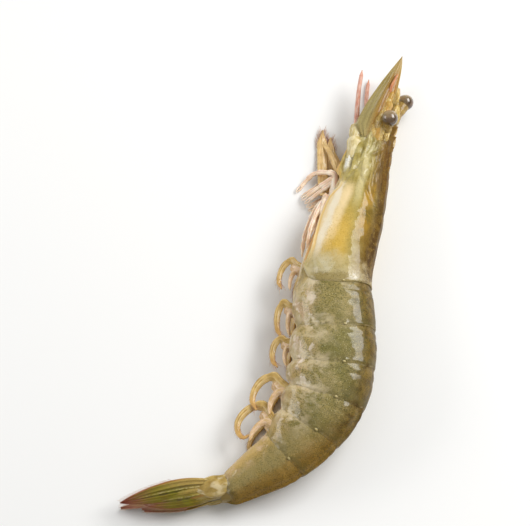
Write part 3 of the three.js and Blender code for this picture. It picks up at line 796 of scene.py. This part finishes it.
def tergite(i):
    """One of the six body plates: the first tucks under the head shield, all but the last have side flaps."""
    fore, aft = HINGES[i], HINGES[i + 1]
    flapped = i < len(SEGMENT_LENGTHS) - 1
    obj, co = copy_of(sheet_blank, int((aft - fore) / PLATE_ROW), 160, f"tergite_{i + 1}")
    u, v = (co[:, 0] + 1) / 2, co[:, 1]
    begin = fore - (1.8 if i else 4.6)
    w0 = np.clip((begin + (aft - begin) * u - fore) / (aft - fore), 0, 1)
    ragged = 3.5 * rough(np.stack([w0 * (aft - fore), 0 * w0, np.sign(v) * 9], 1), 1.7, 41 + i)
    limit = 150 - 13 * np.abs(2 * w0 - 1) ** 2.6 + ragged if flapped else 174 + 0 * u
    turn = v * np.radians(limit)
    a = np.degrees(np.abs(turn))
    rear = aft + (FLAPPED_REAR if flapped else LAST_REAR)(a)
    even = begin + (rear - begin) * u
    plain = body_point(even, *section(even, turn))
    rear = rear + 0.22 * rough(body_point(0 * u + aft, *section(0 * u + aft, turn)), 2.6, 31 + i)
    s = begin + (rear - begin) * u
    w = np.clip((s - fore) / (aft - fore), 0, 1)
    lobe = 1 - (0.05 * np.abs(2 * w - 1) ** 3 if flapped else 0)
    lip = fore if i else CARAPACE_REAR(a)
    # Sunk front edge, round back, rear rim, a fine line across, the hinge's swelling and an uneven shell.
    grow = (-0.3 * fade(s - lip, -0.9, 1.5) + 0.22 * np.sin(np.pi * w) ** 0.8
            + 0.08 * smooth(s, rear - 1.6, rear - 0.4) - 0.2 * smooth(s, rear - 0.7, rear)
            - 0.12 * bell(s - fore - 2.4, 0.5) * fade(a, 70, 95)
            + 0.25 * bell(np.hypot(s - rear + 0.8, (a - 58) * 0.17), 0.7)
            + 0.13 * rough(plain, 4.0, 3 + i) + 0.05 * rough(plain, 1.6, 5 + i))
    if flapped:
        # Swelling of the side flap, the hollow behind it and its rolled rim.
        grow = (grow + 0.55 * bell(w - 0.28, 0.24) * smooth(a, 94, 116) * fade(a, 128, 146)
                - 0.25 * bell(w - 0.85, 0.16) * smooth(a, 84, 104) + 0.2 * smooth(a, limit - 7, limit - 3))
    if i >= KEELED_FROM:
        grow = grow + 0.45 * bell(turn * 8, 0.8)
    if not flapped:
        grow = grow - 1.5 * smooth(s, rear - 2.6, rear + 0.4) ** 1.5
    plate(obj, s, turn, grow, lobe, np.minimum(rear - s, (limit - a) * 0.18), TERGITE_WALL, ABDOMEN)


def flesh_core():
    """Flesh inside the shell: soft folds under the head and bars across the belly."""
    rings = 160
    obj, co = copy_of(rod_blank, 80, rings, "flesh_core")
    t, turn = co[:, 2] / rings, np.arctan2(co[:, 0], co[:, 1])
    s = -6 + (H6 + 1.6 + 6) * t
    grow = profile((-6, -2.6), (-5, -1.2), (-2.5, -0.4), (3, -0.5), (9, -0.7), (H6 - 1, -0.7),
                   (H6 + 1.6, -1.6))(s)
    a = np.degrees(np.abs(turn))
    bars = 0.35 * np.cos((s - NAPE) * 2 * np.pi / 10.8) * smooth(a, 145, 165) * smooth(s, 10, 20)
    under = smooth(a, 118, 138) * smooth(s, 2, 10) * fade(s, NAPE - 4, NAPE + 1)
    folds = under * (0.2 + 0.28 * np.cos(a * 0.9 + s * 0.1))
    narrow = np.zeros_like(s)
    for fore, aft in zip(HINGES[:-2], HINGES[1:-1]):
        inside = (s >= fore) & (s < aft)
        narrow = np.where(inside, 0.05 * np.abs(2 * (s - fore) / (aft - fore) - 1) ** 3, narrow)
    p = body_point(s, *section(s, turn, grow + bars + folds, 1 - narrow), 0.05)
    settle(obj, p, s / 10, turn / np.pi, 1)
    dress(obj, FLESH)


def hinge_knobs():
    """Pale ball joints where two plates turn on each other; their pale tone is partly a painted highlight."""
    for i, hinge in enumerate(HINGES[:6]):
        for side, name in SIDES:
            obj, co = copy_of(ball_blank, 14, 8, f"hinge_knob_{i + 1}_{name}")
            at, turn = hinge - 0.1, HINGE_TURN * side
            middle = body_point(at, *section(at, turn, 0.25))[0]
            inner = body_point(at, *section(at, turn, -2.0))[0]
            out = unit(middle - inner)
            tail = axes_at(at)[1]
            across = np.cross(out, tail)
            p = middle + out * co[:, 2:3] * 0.22 + tail * co[:, 0:1] * 0.36 + across * co[:, 1:2] * 0.5
            settle(obj, p, co[:, 2], co[:, 0], co[:, 1])
            dress(obj, HINGE_SKIN)


# Head.
def crest_line(s):
    """Height of the rostrum's crest, which sinks toward its tip."""
    return back_of(np.maximum(s, 2)) + 0.3 - 2.9 * smooth(-np.asarray(s, float), 2, ROSTRUM_LENGTH + 2)


def rostrum():
    """Toothed spine that runs from the head shield out between the eyes."""
    rings = 110
    obj, co = copy_of(rod_blank, 14, rings, "rostrum")
    t, turn = co[:, 2] / rings, np.arctan2(co[:, 1], co[:, 0])
    s = 14 - (14 + ROSTRUM_LENGTH) * t
    pitch = (12 + ROSTRUM_LENGTH - 1.6) / ROSTRUM_TEETH
    saw = np.clip((12 - s) / pitch, 0, ROSTRUM_TEETH - 0.001)
    rise = (saw % 1) ** 1.3
    tall = 0.9 + 0.25 * np.sin(np.floor(saw) / ROSTRUM_TEETH * np.pi)
    top = crest_line(s) + np.where((s < 12) & (s > -ROSTRUM_LENGTH + 1.2), tall * rise, 0)
    under = crest_line(s) - profile((-16, 0.15), (-12.6, 1.1), (-6.7, 2), (0, 2.6), (6, 1.6), (14, 0.9))(s)
    notch = 0.4 * (bell(s + 8.8, 0.5) + bell(s + 11, 0.45))
    half = profile((-16, 0.12), (-11.8, 0.35), (-5, 0.65), (2, 0.8), (8, 0.7), (14, 0.35))(s)
    h = 0.5 + 0.5 * np.cos(turn)
    up = under - notch + (top - under + notch) * h
    wide = half * np.sign(np.sin(turn)) * np.abs(np.sin(turn)) ** 0.8 * (1.15 - 0.75 * h)
    settle(obj, body_point(s, up, wide), t, h, 1)
    dress(obj, ROSTRUM_SKIN)


# Each eye: root of its stalk, neck and centre of the ball, on the body.
EYES = {"left": ((-1.6, 4.7, 1.6), (-3.6, 5.9, 3.2), (-5, 6.9, 4.9)),
        "right": ((-6, 4.2, -1.8), (-10.6, 5, -3.1), (-14, 5.7, -4.2))}


def eyes():
    for name, rows in EYES.items():
        base, neck, centre = body_path(rows)
        axis = unit(centre - neck)
        girth = lambda t, a: (1.5 + 0.5 * t ** 2 - 0.22 * bell(t - 0.45, 0.1)
                              + 0.12 * np.sin(a * 3 + 1) * (1 - t))
        limb(f"eye_stalk_{name}", [base, neck, centre - axis * 0.4], UP, girth, girth, 20, 26, STALK_SKIN)
        ball, co = copy_of(ball_blank, 44, 26, f"eye_{name}")
        across = unit(np.cross(axis, np.array([0.3, 0.2, 0.93])))
        third = np.cross(axis, across)
        r = EYE_RADIUS * (1 + 0.03 * np.sin(co[:, 0:1] * 3 + 1))
        p = centre + axis * co[:, 2:3] * r * 0.94 + across * co[:, 0:1] * r * 1.02 + third * co[:, 1:2] * r
        # Painted reflection: mark for the side of the ball that is painted paler.
        reflection_side = (p - centre) @ np.array([-0.3, 0.92, 0.25]) / EYE_RADIUS
        settle(ball, p, reflection_side, co[:, 0], co[:, 2])
        dress(ball, EYE_SKIN)


HEAD_LOBES = [
    (-0.6, 3.7, 3.5, 2.8, 1.7, 0.8), (-0.8, 4.9, 2.2, 2.6, 1.5, 0.8), (-2.6, 4.3, 3.4, 2.2, 1.2, 0.8),
    (-5, 3.2, 4.2, 3.6, 1.5, 1), (-9.4, 4, 3.9, 3.4, 1.4, 0.9), (-13.4, 4.9, 0.6, 3, 1.4, 1.3),
    (-8.6, 5, -0.8, 3.6, 1.5, 1.6), (-0.6, 3.7, -3.5, 2.8, 1.7, 0.8), (-5, 3.2, -4.2, 3.6, 1.5, 1),
    (-9.4, 4, -3.9, 3.4, 1.4, 0.9), (-1, 1.6, 4.5, 2.8, 1.8, 0.8), (-1, 1.6, -4.5, 2.8, 1.8, 0.8)]


def head_lobes():
    """Soft lumps at the roots of the eyes and small feelers: place on the body, then half sizes."""
    for k, (s, up, left, long, tall, wide) in enumerate(HEAD_LOBES):
        obj, co = copy_of(ball_blank, 26, 16, f"head_lobe_{k + 1}")
        co *= 1 + 0.34 * rough(co, 0.75, 5 + 3 * k)[:, None] + 0.16 * rough(co, 0.34, 8 + k)[:, None]
        _, tail, back, side = axes_at(s)
        p = (body_point(s, up, left) + tail * co[:, 0:1] * long + back * co[:, 1:2] * tall
             + side * co[:, 2:3] * wide)
        settle(obj, p, *co.T)
        dress(obj, LOBE_SKIN)


def leaf(name, points, s, lean, width, thick, peak, taper, ribs, finish, inner=None):
    """Thin blade with raised ribs along it; lean turns it about its length from level.

    It is widest at the share peak and drawn in to its tip by taper, and on its inner side by inner. Ribs
    are place across, width and height. Gives its path, its flat direction and its half width by share.
    """
    rings = 60
    _, _, back, left = axes_at(s)
    flat = left * math.cos(lean) - back * math.sin(lean)
    obj, co = copy_of(rod_blank, 64, rings, name)
    t, q = co[:, 2] / rings, np.arctan2(co[:, 1], co[:, 0]) / np.pi
    across = 1 - 2 * np.abs(q)
    face_side = np.sign(q) * np.sqrt(np.maximum(1 - across ** 2, 0))
    grown = np.minimum(1, 0.45 + 0.55 * np.sin(np.minimum(t, peak) / peak * np.pi / 2))
    drawn_in = lambda share, end: (1 - np.clip((share - peak) / (1 - peak), 0, 1) ** end[0]) ** end[1]
    reach = np.maximum(width / 2 * grown * drawn_in(t, taper), THINNEST_EDGE)
    if inner:
        lamella = np.maximum(width / 2 * grown * drawn_in(t, inner), THINNEST_EDGE)
        reach = np.where(across * math.copysign(1, lean) < 0, lamella, reach)
    rib = sum(tall * bell(across - where, wide) for where, wide, tall in ribs) * (1 - 0.7 * t)
    depth = (np.maximum(thick / 2 * (1 - 0.7 * t), THINNEST_EDGE) * face_side
             + rib * np.sign(q) * smooth(np.abs(face_side), 0, 0.4))
    path = Path(points)
    place, edge, face = lay_along(path, t, flat)
    ripple = 0.12 * np.sin(t * 9 + across * 2) * t * (1 - across ** 2)
    p = place + edge * (reach * across)[:, None] + face * (depth + ripple)[:, None]
    settle(obj, keep_above(p, FLOOR_GAP), t, across, np.abs(across))
    dress(obj, finish)
    return path, flat, lambda share: width / 2 * drawn_in(share, taper)


def hair_rows(points, share, flat):
    """Places along a limb, its direction there and, by turns, its one side and the other."""
    path = Path(points)
    along = path.along(share)
    by_turns = np.where(np.arange(len(share)) % 2, 1, -1)[:, None]
    return path.at(share), along, np.cross(along, flat) * by_turns


def bristles(name, roots, tips, radius):
    """Comb of fine curved hairs in one mesh: a thin rod is repeated from each root to its tip."""
    rings = 3
    hair, shape = copy_of(rod_blank, 5, rings, name)
    faces = [tuple(f.vertices) for f in hair.data.polygons]
    t = shape[:, 2:3] / rings
    girth = radius * (1 - 0.8 * t)
    points, polys = [], []
    for k, (root, tip) in enumerate(zip(roots, tips)):
        along = tip - root
        side = unit(np.cross(along, (0.3, 0.5, 0.8)))
        other = np.cross(unit(along), side)
        sag = np.array([0, 0, -0.15]) * np.linalg.norm(along) * t ** 2
        points.append(root + along * t + sag + side * shape[:, 0:1] * girth + other * shape[:, 1:2] * girth)
        polys += [tuple(v + k * len(shape) for v in f) for f in faces]
    p = keep_above(np.vstack(points), 0.05)
    mesh = bpy.data.meshes.new(name)
    mesh.from_pydata((p * MM).tolist(), [], polys)
    old = hair.data
    hair.data = mesh
    bpy.data.meshes.remove(old)
    settle(hair, p, np.tile(t[:, 0], len(points)), 0, 0)
    dress(hair, BRISTLE_SKIN)


def body_path(rows, side=1, clear=0.5):
    """Path on the body through rows of station, distance toward the back and to the left."""
    return np.vstack([body_point(s, up, left * side, clear) for s, up, left in rows])


def feelers(side, name):
    """Antenna with its ribbed blade, root and whip, and antennule with two lashes, of one side."""
    tip = 1 - SCALE_LENGTH
    rise, spread = (6.2, 4.2) if side > 0 else (1.4, 3.4)
    blade = [(1, 0.2, 4.2), (-8, 0.3 + rise / 3, 5.4), (tip, rise, spread)]
    ribs = [(0.82, 0.1, 0.4), (0.48, 0.07, 0.3), (0.06, 0.08, 0.38), (-0.34, 0.07, 0.22),
            (-0.66, 0.07, 0.18)]
    leaf(f"antenna_blade_{name}", body_path(blade, side), 0, math.radians(42) * side, SCALE_WIDTH, 1.5,
         0.14, (1.0, 0.85), ribs, SCALE_SKIN, inner=(1.9, 0.8))
    base = [(8, -2.6, 3.8), (2, -3, 5), (-3, -3.4, 5.2)]
    swell = lambda t, a: (2.6 - 0.8 * t + 0.25 * bell(t - 0.48, 0.08) - 0.28 * bell(t - 0.6, 0.05)
                          + 0.2 * bell(t - 0.8, 0.06) - 0.9 * smooth(t, 0.92, 1))
    limb(f"antenna_base_{name}", body_path(base, side), UP, swell, swell, 28, 36, BASE_SKIN)
    low = 0 if side > 0 else 2.4
    whip = [(-2, -3.4, 5.2), (-8, -4.6 - low * 0.6, 5), (-14, -5.5 - low, 4.8), (-20.5, -6 - low, 4.6)]
    ring = lambda t, a: ((0.85 - 0.3 * t) * (1 + 0.07 * np.cos(t * 2 * np.pi * 30))
                         * (1 - 0.75 * smooth(t, 0.9, 1)))
    limb(f"antenna_whip_{name}", body_path(whip, side, 0.8), UP, ring, ring, 12, 120, FEELER_SKIN)
    stem = [(4, 2.6, 2.4), (-4, 3.2, 3.0), (-10, 4.2, 3.2), (-14.5, 4.9, 3.2)]
    joint = lambda t, a: (2.3 - 1.1 * t + 0.2 * (bell(t - 0.5, 0.05) + bell(t - 0.76, 0.04))
                          + 0.12 * np.sin(a * 4) - 0.25 * (bell(t - 0.57, 0.03) + bell(t - 0.82, 0.03))
                          - 0.6 * smooth(t, 0.93, 1))
    limb(f"antennule_{name}", body_path(stem, side), UP, joint, joint, 28, 60, STEM_SKIN)
    for fork, word in ((0.5, "upper"), (-0.5, "lower")):
        lash = [(-13, 4.4, 2.6), (-15, 3.6 + fork, 2), (-17.5, 3.2 + fork, 1.4)]
        if side > 0:
            lash = [(-13, 4.4, 3.8), (-15.5, 5.2 + fork * 0.4, 4.6 + fork),
                    (-18.8, 6.3 + fork * 0.8, 4.9 + fork * 0.6)]
        ring = lambda t, a: (0.52 - 0.3 * t) * (1 + 0.06 * np.cos(t * 2 * np.pi * 16))
        limb(f"antennule_lash_{word}_{name}", body_path(lash, side), UP, ring, ring, 10, 60, LASH_SKIN)


# Limbs under the body. Path rows are station, distance out from the belly and to the left.
MOUTH_ARM = [(18, -3, 2.4), (12.6, 0.4, 2.8), (6.5, 5, 2.8), (1.9, 9.7, 2.3)]
MOUTH_END = [(-1.8, 11.6, 2.2), (2.5, 10, 2.1), (9.2, 7.5, 1.9), (15, 5.2, 1.8), (19.6, 3.2, 1.7)]
LEG_PATHS = [
    [(23, -3, 3), (17, -0.6, 3.8), (13.2, 0.8, 4), (12.4, 4.4, 3.8), (12.8, 8.4, 3.2), (15, 10.6, 2.4),
     (17.2, 11.8, 1.6)],
    [(27, -3, 3), (19, -0.6, 3.4), (14.2, 1, 3.4), (16.6, 4.6, 2.8), (20.4, 8.2, 2)],
    [(30, -3, 2.6), (21, -0.6, 3), (15.6, 0.8, 3), (18, 3.8, 2.4), (21.4, 6.8, 1.6)],
    [(33, -4, 4.4), (26, -1.7, 6.1), (21.5, -1, 5.9), (26.5, -0.6, 6.2), (33, -0.9, 6.4), (40, -2, 6.2)],
    [(37, -4, 3.6), (30, -0.3, 4.6), (23.5, 0.9, 4.4), (28.5, 1.5, 4.4), (36, 1.1, 4.2), (42, -0.3, 4)],
]
CLAWED_LEGS = 3


def belly_path(rows, side):
    """Path under the body; on the right side it lags a little and is held closer."""
    lag, hold = (0, 1) if side > 0 else (1.8, 0.9)
    return np.vstack([belly_point(s + lag, out * hold, left * side, 0.9) for s, out, left in rows])


def mouth_limbs(side, name):
    """Flat fibrous straps: an arm from the mouth and a broader end that hangs from it, with hairs."""
    fibre = lambda a: 1 + 0.2 * np.cos(a * 7 + 1) + 0.12 * np.cos(a * 13)
    arm = lambda t: 0.95 - 0.25 * t + 0.2 * bell(t - 0.55, 0.05) - 0.15 * bell(t - 0.62, 0.04)
    limb(f"mouth_limb_{name}", belly_path(MOUTH_ARM, side), UP, lambda t, a: 0.55 * fibre(a) * arm(t),
         lambda t, a: arm(t), 28, 60, MOUTH_SKIN)
    broad = lambda t: (1.5 * (0.16 + 0.84 * smooth(t, 0, 0.2)) * (1 - 0.35 * smooth(t, 0.72, 1))
                       + 0.1 * bell(t - 0.5, 0.03))
    points = belly_path(MOUTH_END, side)
    limb(f"mouth_limb_end_{name}", points, UP, lambda t, a: 0.5 * fibre(a) * (1 - 0.4 * t),
         lambda t, a: broad(t), 40, 80, MOUTH_SKIN)
    share = np.concatenate([np.linspace(0.02, 0.3, 60), np.linspace(0.3, 0.97, 50)])
    at, along, out = hair_rows(points, share, UP)
    root = at + out * (broad(share) * 0.85)[:, None]
    comb = np.where(share < 0.3, 2.2, -1.2)[:, None]
    tips = root + out * 0.7 - along * comb + RNG.normal(0, 0.25, root.shape)
    bristles(f"mouth_limb_hairs_{name}", root, tips, 0.06)


def legs(side, name):
    """Walking legs; the last two pairs lie back along the body and end in a point, the others in a claw."""
    for i, rows in enumerate(LEG_PATHS, 1):
        points = belly_path(rows, side)
        knots = np.linspace(0, 1, len(rows))[1:-1]

        def swell(t):
            joints = sum(0.2 * bell(t - k, 0.022) - 0.14 * bell(t - k - 0.05, 0.025) for k in knots)
            point = 1 - 0.7 * smooth(t, 0.9, 1) if i > CLAWED_LEGS else 1
            return (1.3 - 0.55 * t + 0.7 * fade(t, 0, 0.16) + joints) * point
        limb(f"leg_{i}_{name}", points, UP,
             lambda t, a: LEG_RADIUS * swell(t) * (0.8 - 0.1 * np.cos(a * 2)),
             lambda t, a: LEG_RADIUS * swell(t), 16, 80, LEG_SKIN, 0.4 if i > CLAWED_LEGS else 0.1)
        if i > CLAWED_LEGS:
            continue
        path = Path(points)
        end, ahead = path.at([1.0])[0], path.along([1.0])[0]
        across = unit(np.cross(ahead, UP))
        for lean, word in ((1, "a"), (-1, "b")):
            row = [end - ahead * 0.7, end + ahead * 0.7 + across * 0.42 * lean,
                   end + ahead * 2.0 + across * 0.12 * lean]
            claw = lambda t, a: LEG_RADIUS * (0.5 - 0.38 * t)
            limb(f"leg_{i}_claw_{word}_{name}", row, UP, claw, claw, 10, 14, LEG_SKIN)


# Paths of a swimming leg's parts: distance tailward from its station and out from the belly.
PLEOPOD_ARCH = [(1, -3), (-0.6, 1), (-2, 4), (0, 6.6), (3.8, 7.7), (7.6, 7), (10, 4.6)]
PLEOPOD_CURL = [(10.2, 2.4), (8, 1.2)]
PLEOPOD_ROOT = [(1.8, -3), (1.1, -0.4), (0.2, 1.8), (-0.6, 3.4)]
PLEOPOD_INNER = [(1.5, -3), (1.9, 0), (4, 1.1), (7, 1.1), (10, 0)]
# Each swimming leg: station, then the shares of the plain reach outward, run tailward and girth.
PLEOPODS = [(NAPE - 3.5, 0.6, 0.75, 0.9), (H1 - 7, 0.54, 0.85, 0.95), (H2 - 6.8, 0.6, 0.7, 0.95),
            (H3 + 1, 0.95, 0.92, 1.15), (H4 + 4, 0.92, 0.9, 1.1)]


def pleopods(side, name):
    """Swimming legs: a broad root, an outer strap that arches tailward and an inner one along the belly."""
    for i, (station, reach, run, girth) in enumerate(PLEOPODS, 1):
        at, tail, back, left = axes_at(station)
        reach = reach if side > 0 else reach * 0.55
        half, deep = PLEOPOD_WIDTH / 2 * girth, PLEOPOD_THICKNESS / 2

        def place(rows, off):
            p = np.array([at + tail * along * run + left * off * side
                          + back * (-float(belly_of(station)) - (out * reach if out > 0 else out))
                          for along, out in rows])
            return keep_above(p, 0.9)
        arch = place(PLEOPOD_ARCH + (PLEOPOD_CURL if i == len(PLEOPODS) else []), 4.2)
        taper = lambda t: ((1.05 - 0.3 * smooth(t, 0.1, 0.5) - 0.3 * smooth(t, 0.4, 1))
                           * (1 - 0.6 * smooth(t, 0.88, 1)))
        knuckle = lambda t: 1 + 0.12 * bell(t - 0.34, 0.04) - 0.14 * bell(t - 0.41, 0.04)
        trough = lambda t, a: ((1.1 - 0.6 * t)
                               * (1 - 0.3 * bell(np.cos(a) - 0.15, 0.22) + 0.12 * np.cos(a * 6)))
        stump = lambda t: 1.5 - 0.4 * t
        limb(f"swimming_leg_{i}_{name}", arch, left, lambda t, a: deep * trough(t, a),
             lambda t, a: half * taper(t) * knuckle(t), 28, 64, PLEOPOD_SKIN, tilt=-0.4 * side)
        limb(f"swimming_leg_root_{i}_{name}", place(PLEOPOD_ROOT, 3.9), left,
             lambda t, a: deep * stump(t) * (1 + 0.1 * np.cos(a * 5)) * (1 - 0.7 * smooth(t, 0.85, 1)),
             lambda t, a: half * stump(t) * (1 - 0.5 * smooth(t, 0.85, 1)),
             28, 36, ROOT_SKIN, tilt=-0.3 * side)
        limb(f"swimming_leg_inner_{i}_{name}", place(PLEOPOD_INNER, 4.4), left,
             lambda t, a: deep * (1.1 - 0.5 * t) * (1 + 0.12 * np.cos(a * 5)),
             lambda t, a: half * 0.75 * taper(t), 24, 44, ROOT_SKIN, tilt=-0.3 * side)
        root, along, out = hair_rows(arch, np.linspace(0.5, 0.99, 46), left)
        tips = root + out * 1.1 + along * 1.5 + RNG.normal(0, 0.15, root.shape)
        bristles(f"swimming_leg_hairs_{i}_{name}", root + out * 0.45, tips, 0.05)


# Tail fan.
def fringe(name, blade, length=1.2):
    """Fine hairs along the outer half of a blade's two margins."""
    share = np.linspace(0.45, 0.985, 44)
    path, flat, half = blade
    at, edge, _ = lay_along(path, share, flat)
    along = path.along(share)
    roots, tips = [], []
    for way in (1, -1):
        out = edge * way
        root = at + out * (half(share) * 0.96)[:, None]
        roots.append(root)
        tips.append(root + out * length * 0.55 + along * length + RNG.normal(0, 0.08, root.shape))
    bristles(name, np.vstack(roots), np.vstack(tips), 0.06)


FAN_STATION = H6 + 10
TELSON_RIBS = [(0.4, 0.14, 0.5), (-0.4, 0.14, 0.5)]
INNER_RIBS = [(0.12, 0.08, 0.45), (-0.22, 0.08, 0.35), (0.6, 0.07, 0.2), (-0.6, 0.07, 0.2)]
OUTER_RIBS = [(0.36, 0.08, 0.5), (0.03, 0.07, 0.4), (-0.28, 0.07, 0.3), (0.8, 0.09, 0.4), (-0.62, 0.06, 0.2)]


def telson():
    """Spike in the middle of the fan."""
    rows = [(H6 - 2, 1.2, 0), (H6 + 10, 1.6, 0), (H6 + 24, 1.3, 0)]
    leaf("telson", body_path(rows), FAN_STATION, 0, 7, 2.6, 0.2, (1.6, 0.9), TELSON_RIBS, TAIL_SKIN)


def tail_blades(side, name):
    """Root of one side of the folded fan, with its inner and outer blade and their hairs."""
    sink, full = (0, 1) if side > 0 else (-1.4, 0.8)
    stub = [(H6 - 3.5, -0.7, 1.4), (H6 + 0.5, -0.7, 2.4), (H6 + 4.5, -0.6, 3.2), (H6 + 8.5, -0.5, 3.6)]
    facet = lambda t, a: ((2.2 - 0.2 * t) * (1 - 0.75 * smooth(t, 0.5, 1)) * (1 + 0.05 * np.cos(a * 3 + 1))
                          * (1 - 0.2 * bell(np.abs(a) - 0.5 - 0.4 * t, 0.16)))
    swell = lambda t, a: (2.8 + 0.5 * bell(t - 0.5, 0.2)) * (1 - 0.6 * smooth(t, 0.66, 1)) * full
    limb(f"tail_stub_{name}", body_path(stub, side), UP, facet, swell, 36, 48, STUB_SKIN)
    rows = [(H6 + 1, 0.6, 1.8), (H6 + 11, 1.2, 2.6), (H6 + 23.5, 1, 2.2)]
    inner = leaf(f"tail_blade_inner_{name}", body_path(rows, side, 1), FAN_STATION, math.radians(50) * side,
                 6, 1.5, 0.45, (2.0, 0.75), INNER_RIBS, TAIL_SKIN)
    rows = [(H6 + 1, -1 + sink, 2.6), (H6 + 13, -0.9 + sink, 4), (H6 + TAIL_FAN_LENGTH, sink, 3.2)]
    outer = leaf(f"tail_blade_outer_{name}", body_path(rows, side, 1), FAN_STATION, math.radians(54) * side,
                 6.2, 1.6, 0.4, (1.8, 0.8), OUTER_RIBS, TAIL_SKIN)
    fringe(f"tail_hairs_inner_{name}", inner)
    fringe(f"tail_hairs_outer_{name}", outer)


# All pieces, from the inside out and from head to tail.
flesh_core()
carapace()
for number in range(len(SEGMENT_LENGTHS)):
    tergite(number)
hinge_knobs()
rostrum()
eyes()
head_lobes()
for pair in (feelers, mouth_limbs, legs, pleopods):
    for side, name in SIDES:
        pair(side, name)
telson()
for side, name in SIDES:
    tail_blades(side, name)
for blank in BLANKS.values():
    bpy.data.objects.remove(blank)


# Table, light and camera.
def table():
    start()
    bpy.ops.mesh.primitive_plane_add(size=4, location=(0, 0, 0))
    floor = bpy.context.object
    floor.name = "floor"
    finish = Finish("pale_table", Base_Color=(0.86, 0.86, 0.85, 1), Roughness=0.6)
    floor.data.materials.append(finish.material)


def softbox(name, place, aim, width, height, power):
    light = bpy.data.lights.new(name, "AREA")
    light.shape, light.size, light.size_y, light.energy = "RECTANGLE", width, height, power
    obj = bpy.data.objects.new(name, light)
    bpy.context.scene.collection.objects.link(obj)
    obj.location = place
    obj.rotation_euler = (Vector(aim) - Vector(place)).to_track_quat("-Z", "Y").to_euler()


table()
softbox("softbox_right", (0.36, 0.2, 0.42), (0, 0.04, 0), 0.46, 0.3, 3.35)
softbox("softbox_left", (-0.5, 0.1, 0.26), (0, 0, 0.01), 0.4, 0.24, 1.2)
# Even white sky, brighter overhead.
world = bpy.data.worlds.new("studio")
bpy.context.scene.world = world
world.use_nodes = True
sky = world.node_tree.nodes
sky["Background"].inputs[0].default_value = (1.0, 0.99, 0.97, 1)
upward = sky.new("ShaderNodeSeparateXYZ")
dome = sky.new("ShaderNodeMapRange")
for socket, value in (("From Min", 0.0), ("From Max", 0.9), ("To Min", 0.2), ("To Max", 0.5)):
    dome.inputs[socket].default_value = value
world.node_tree.links.new(sky.new("ShaderNodeTexCoord").outputs["Generated"], upward.inputs[0])
world.node_tree.links.new(upward.outputs["Z"], dome.inputs[0])
world.node_tree.links.new(dome.outputs[0], sky["Background"].inputs[1])
bpy.context.scene.view_settings.view_transform = "Standard"

SENSOR, LENS, VIEW_WIDTH = 36, 210, 0.154
ELEVATION = math.radians(72)
AIM = Vector((-0.00116, 0.00495, 0.009))
camera = bpy.data.cameras.new("camera")
camera.sensor_width, camera.lens = SENSOR, LENS
camera_object = bpy.data.objects.new("camera", camera)
bpy.context.scene.collection.objects.link(camera_object)
BACK_OFF = Vector((0, -math.cos(ELEVATION), math.sin(ELEVATION))) * (VIEW_WIDTH * LENS / SENSOR)
camera_object.location = AIM + BACK_OFF
camera_object.rotation_euler = (AIM - camera_object.location).to_track_quat("-Z", "Y").to_euler()
bpy.context.scene.camera = camera_object
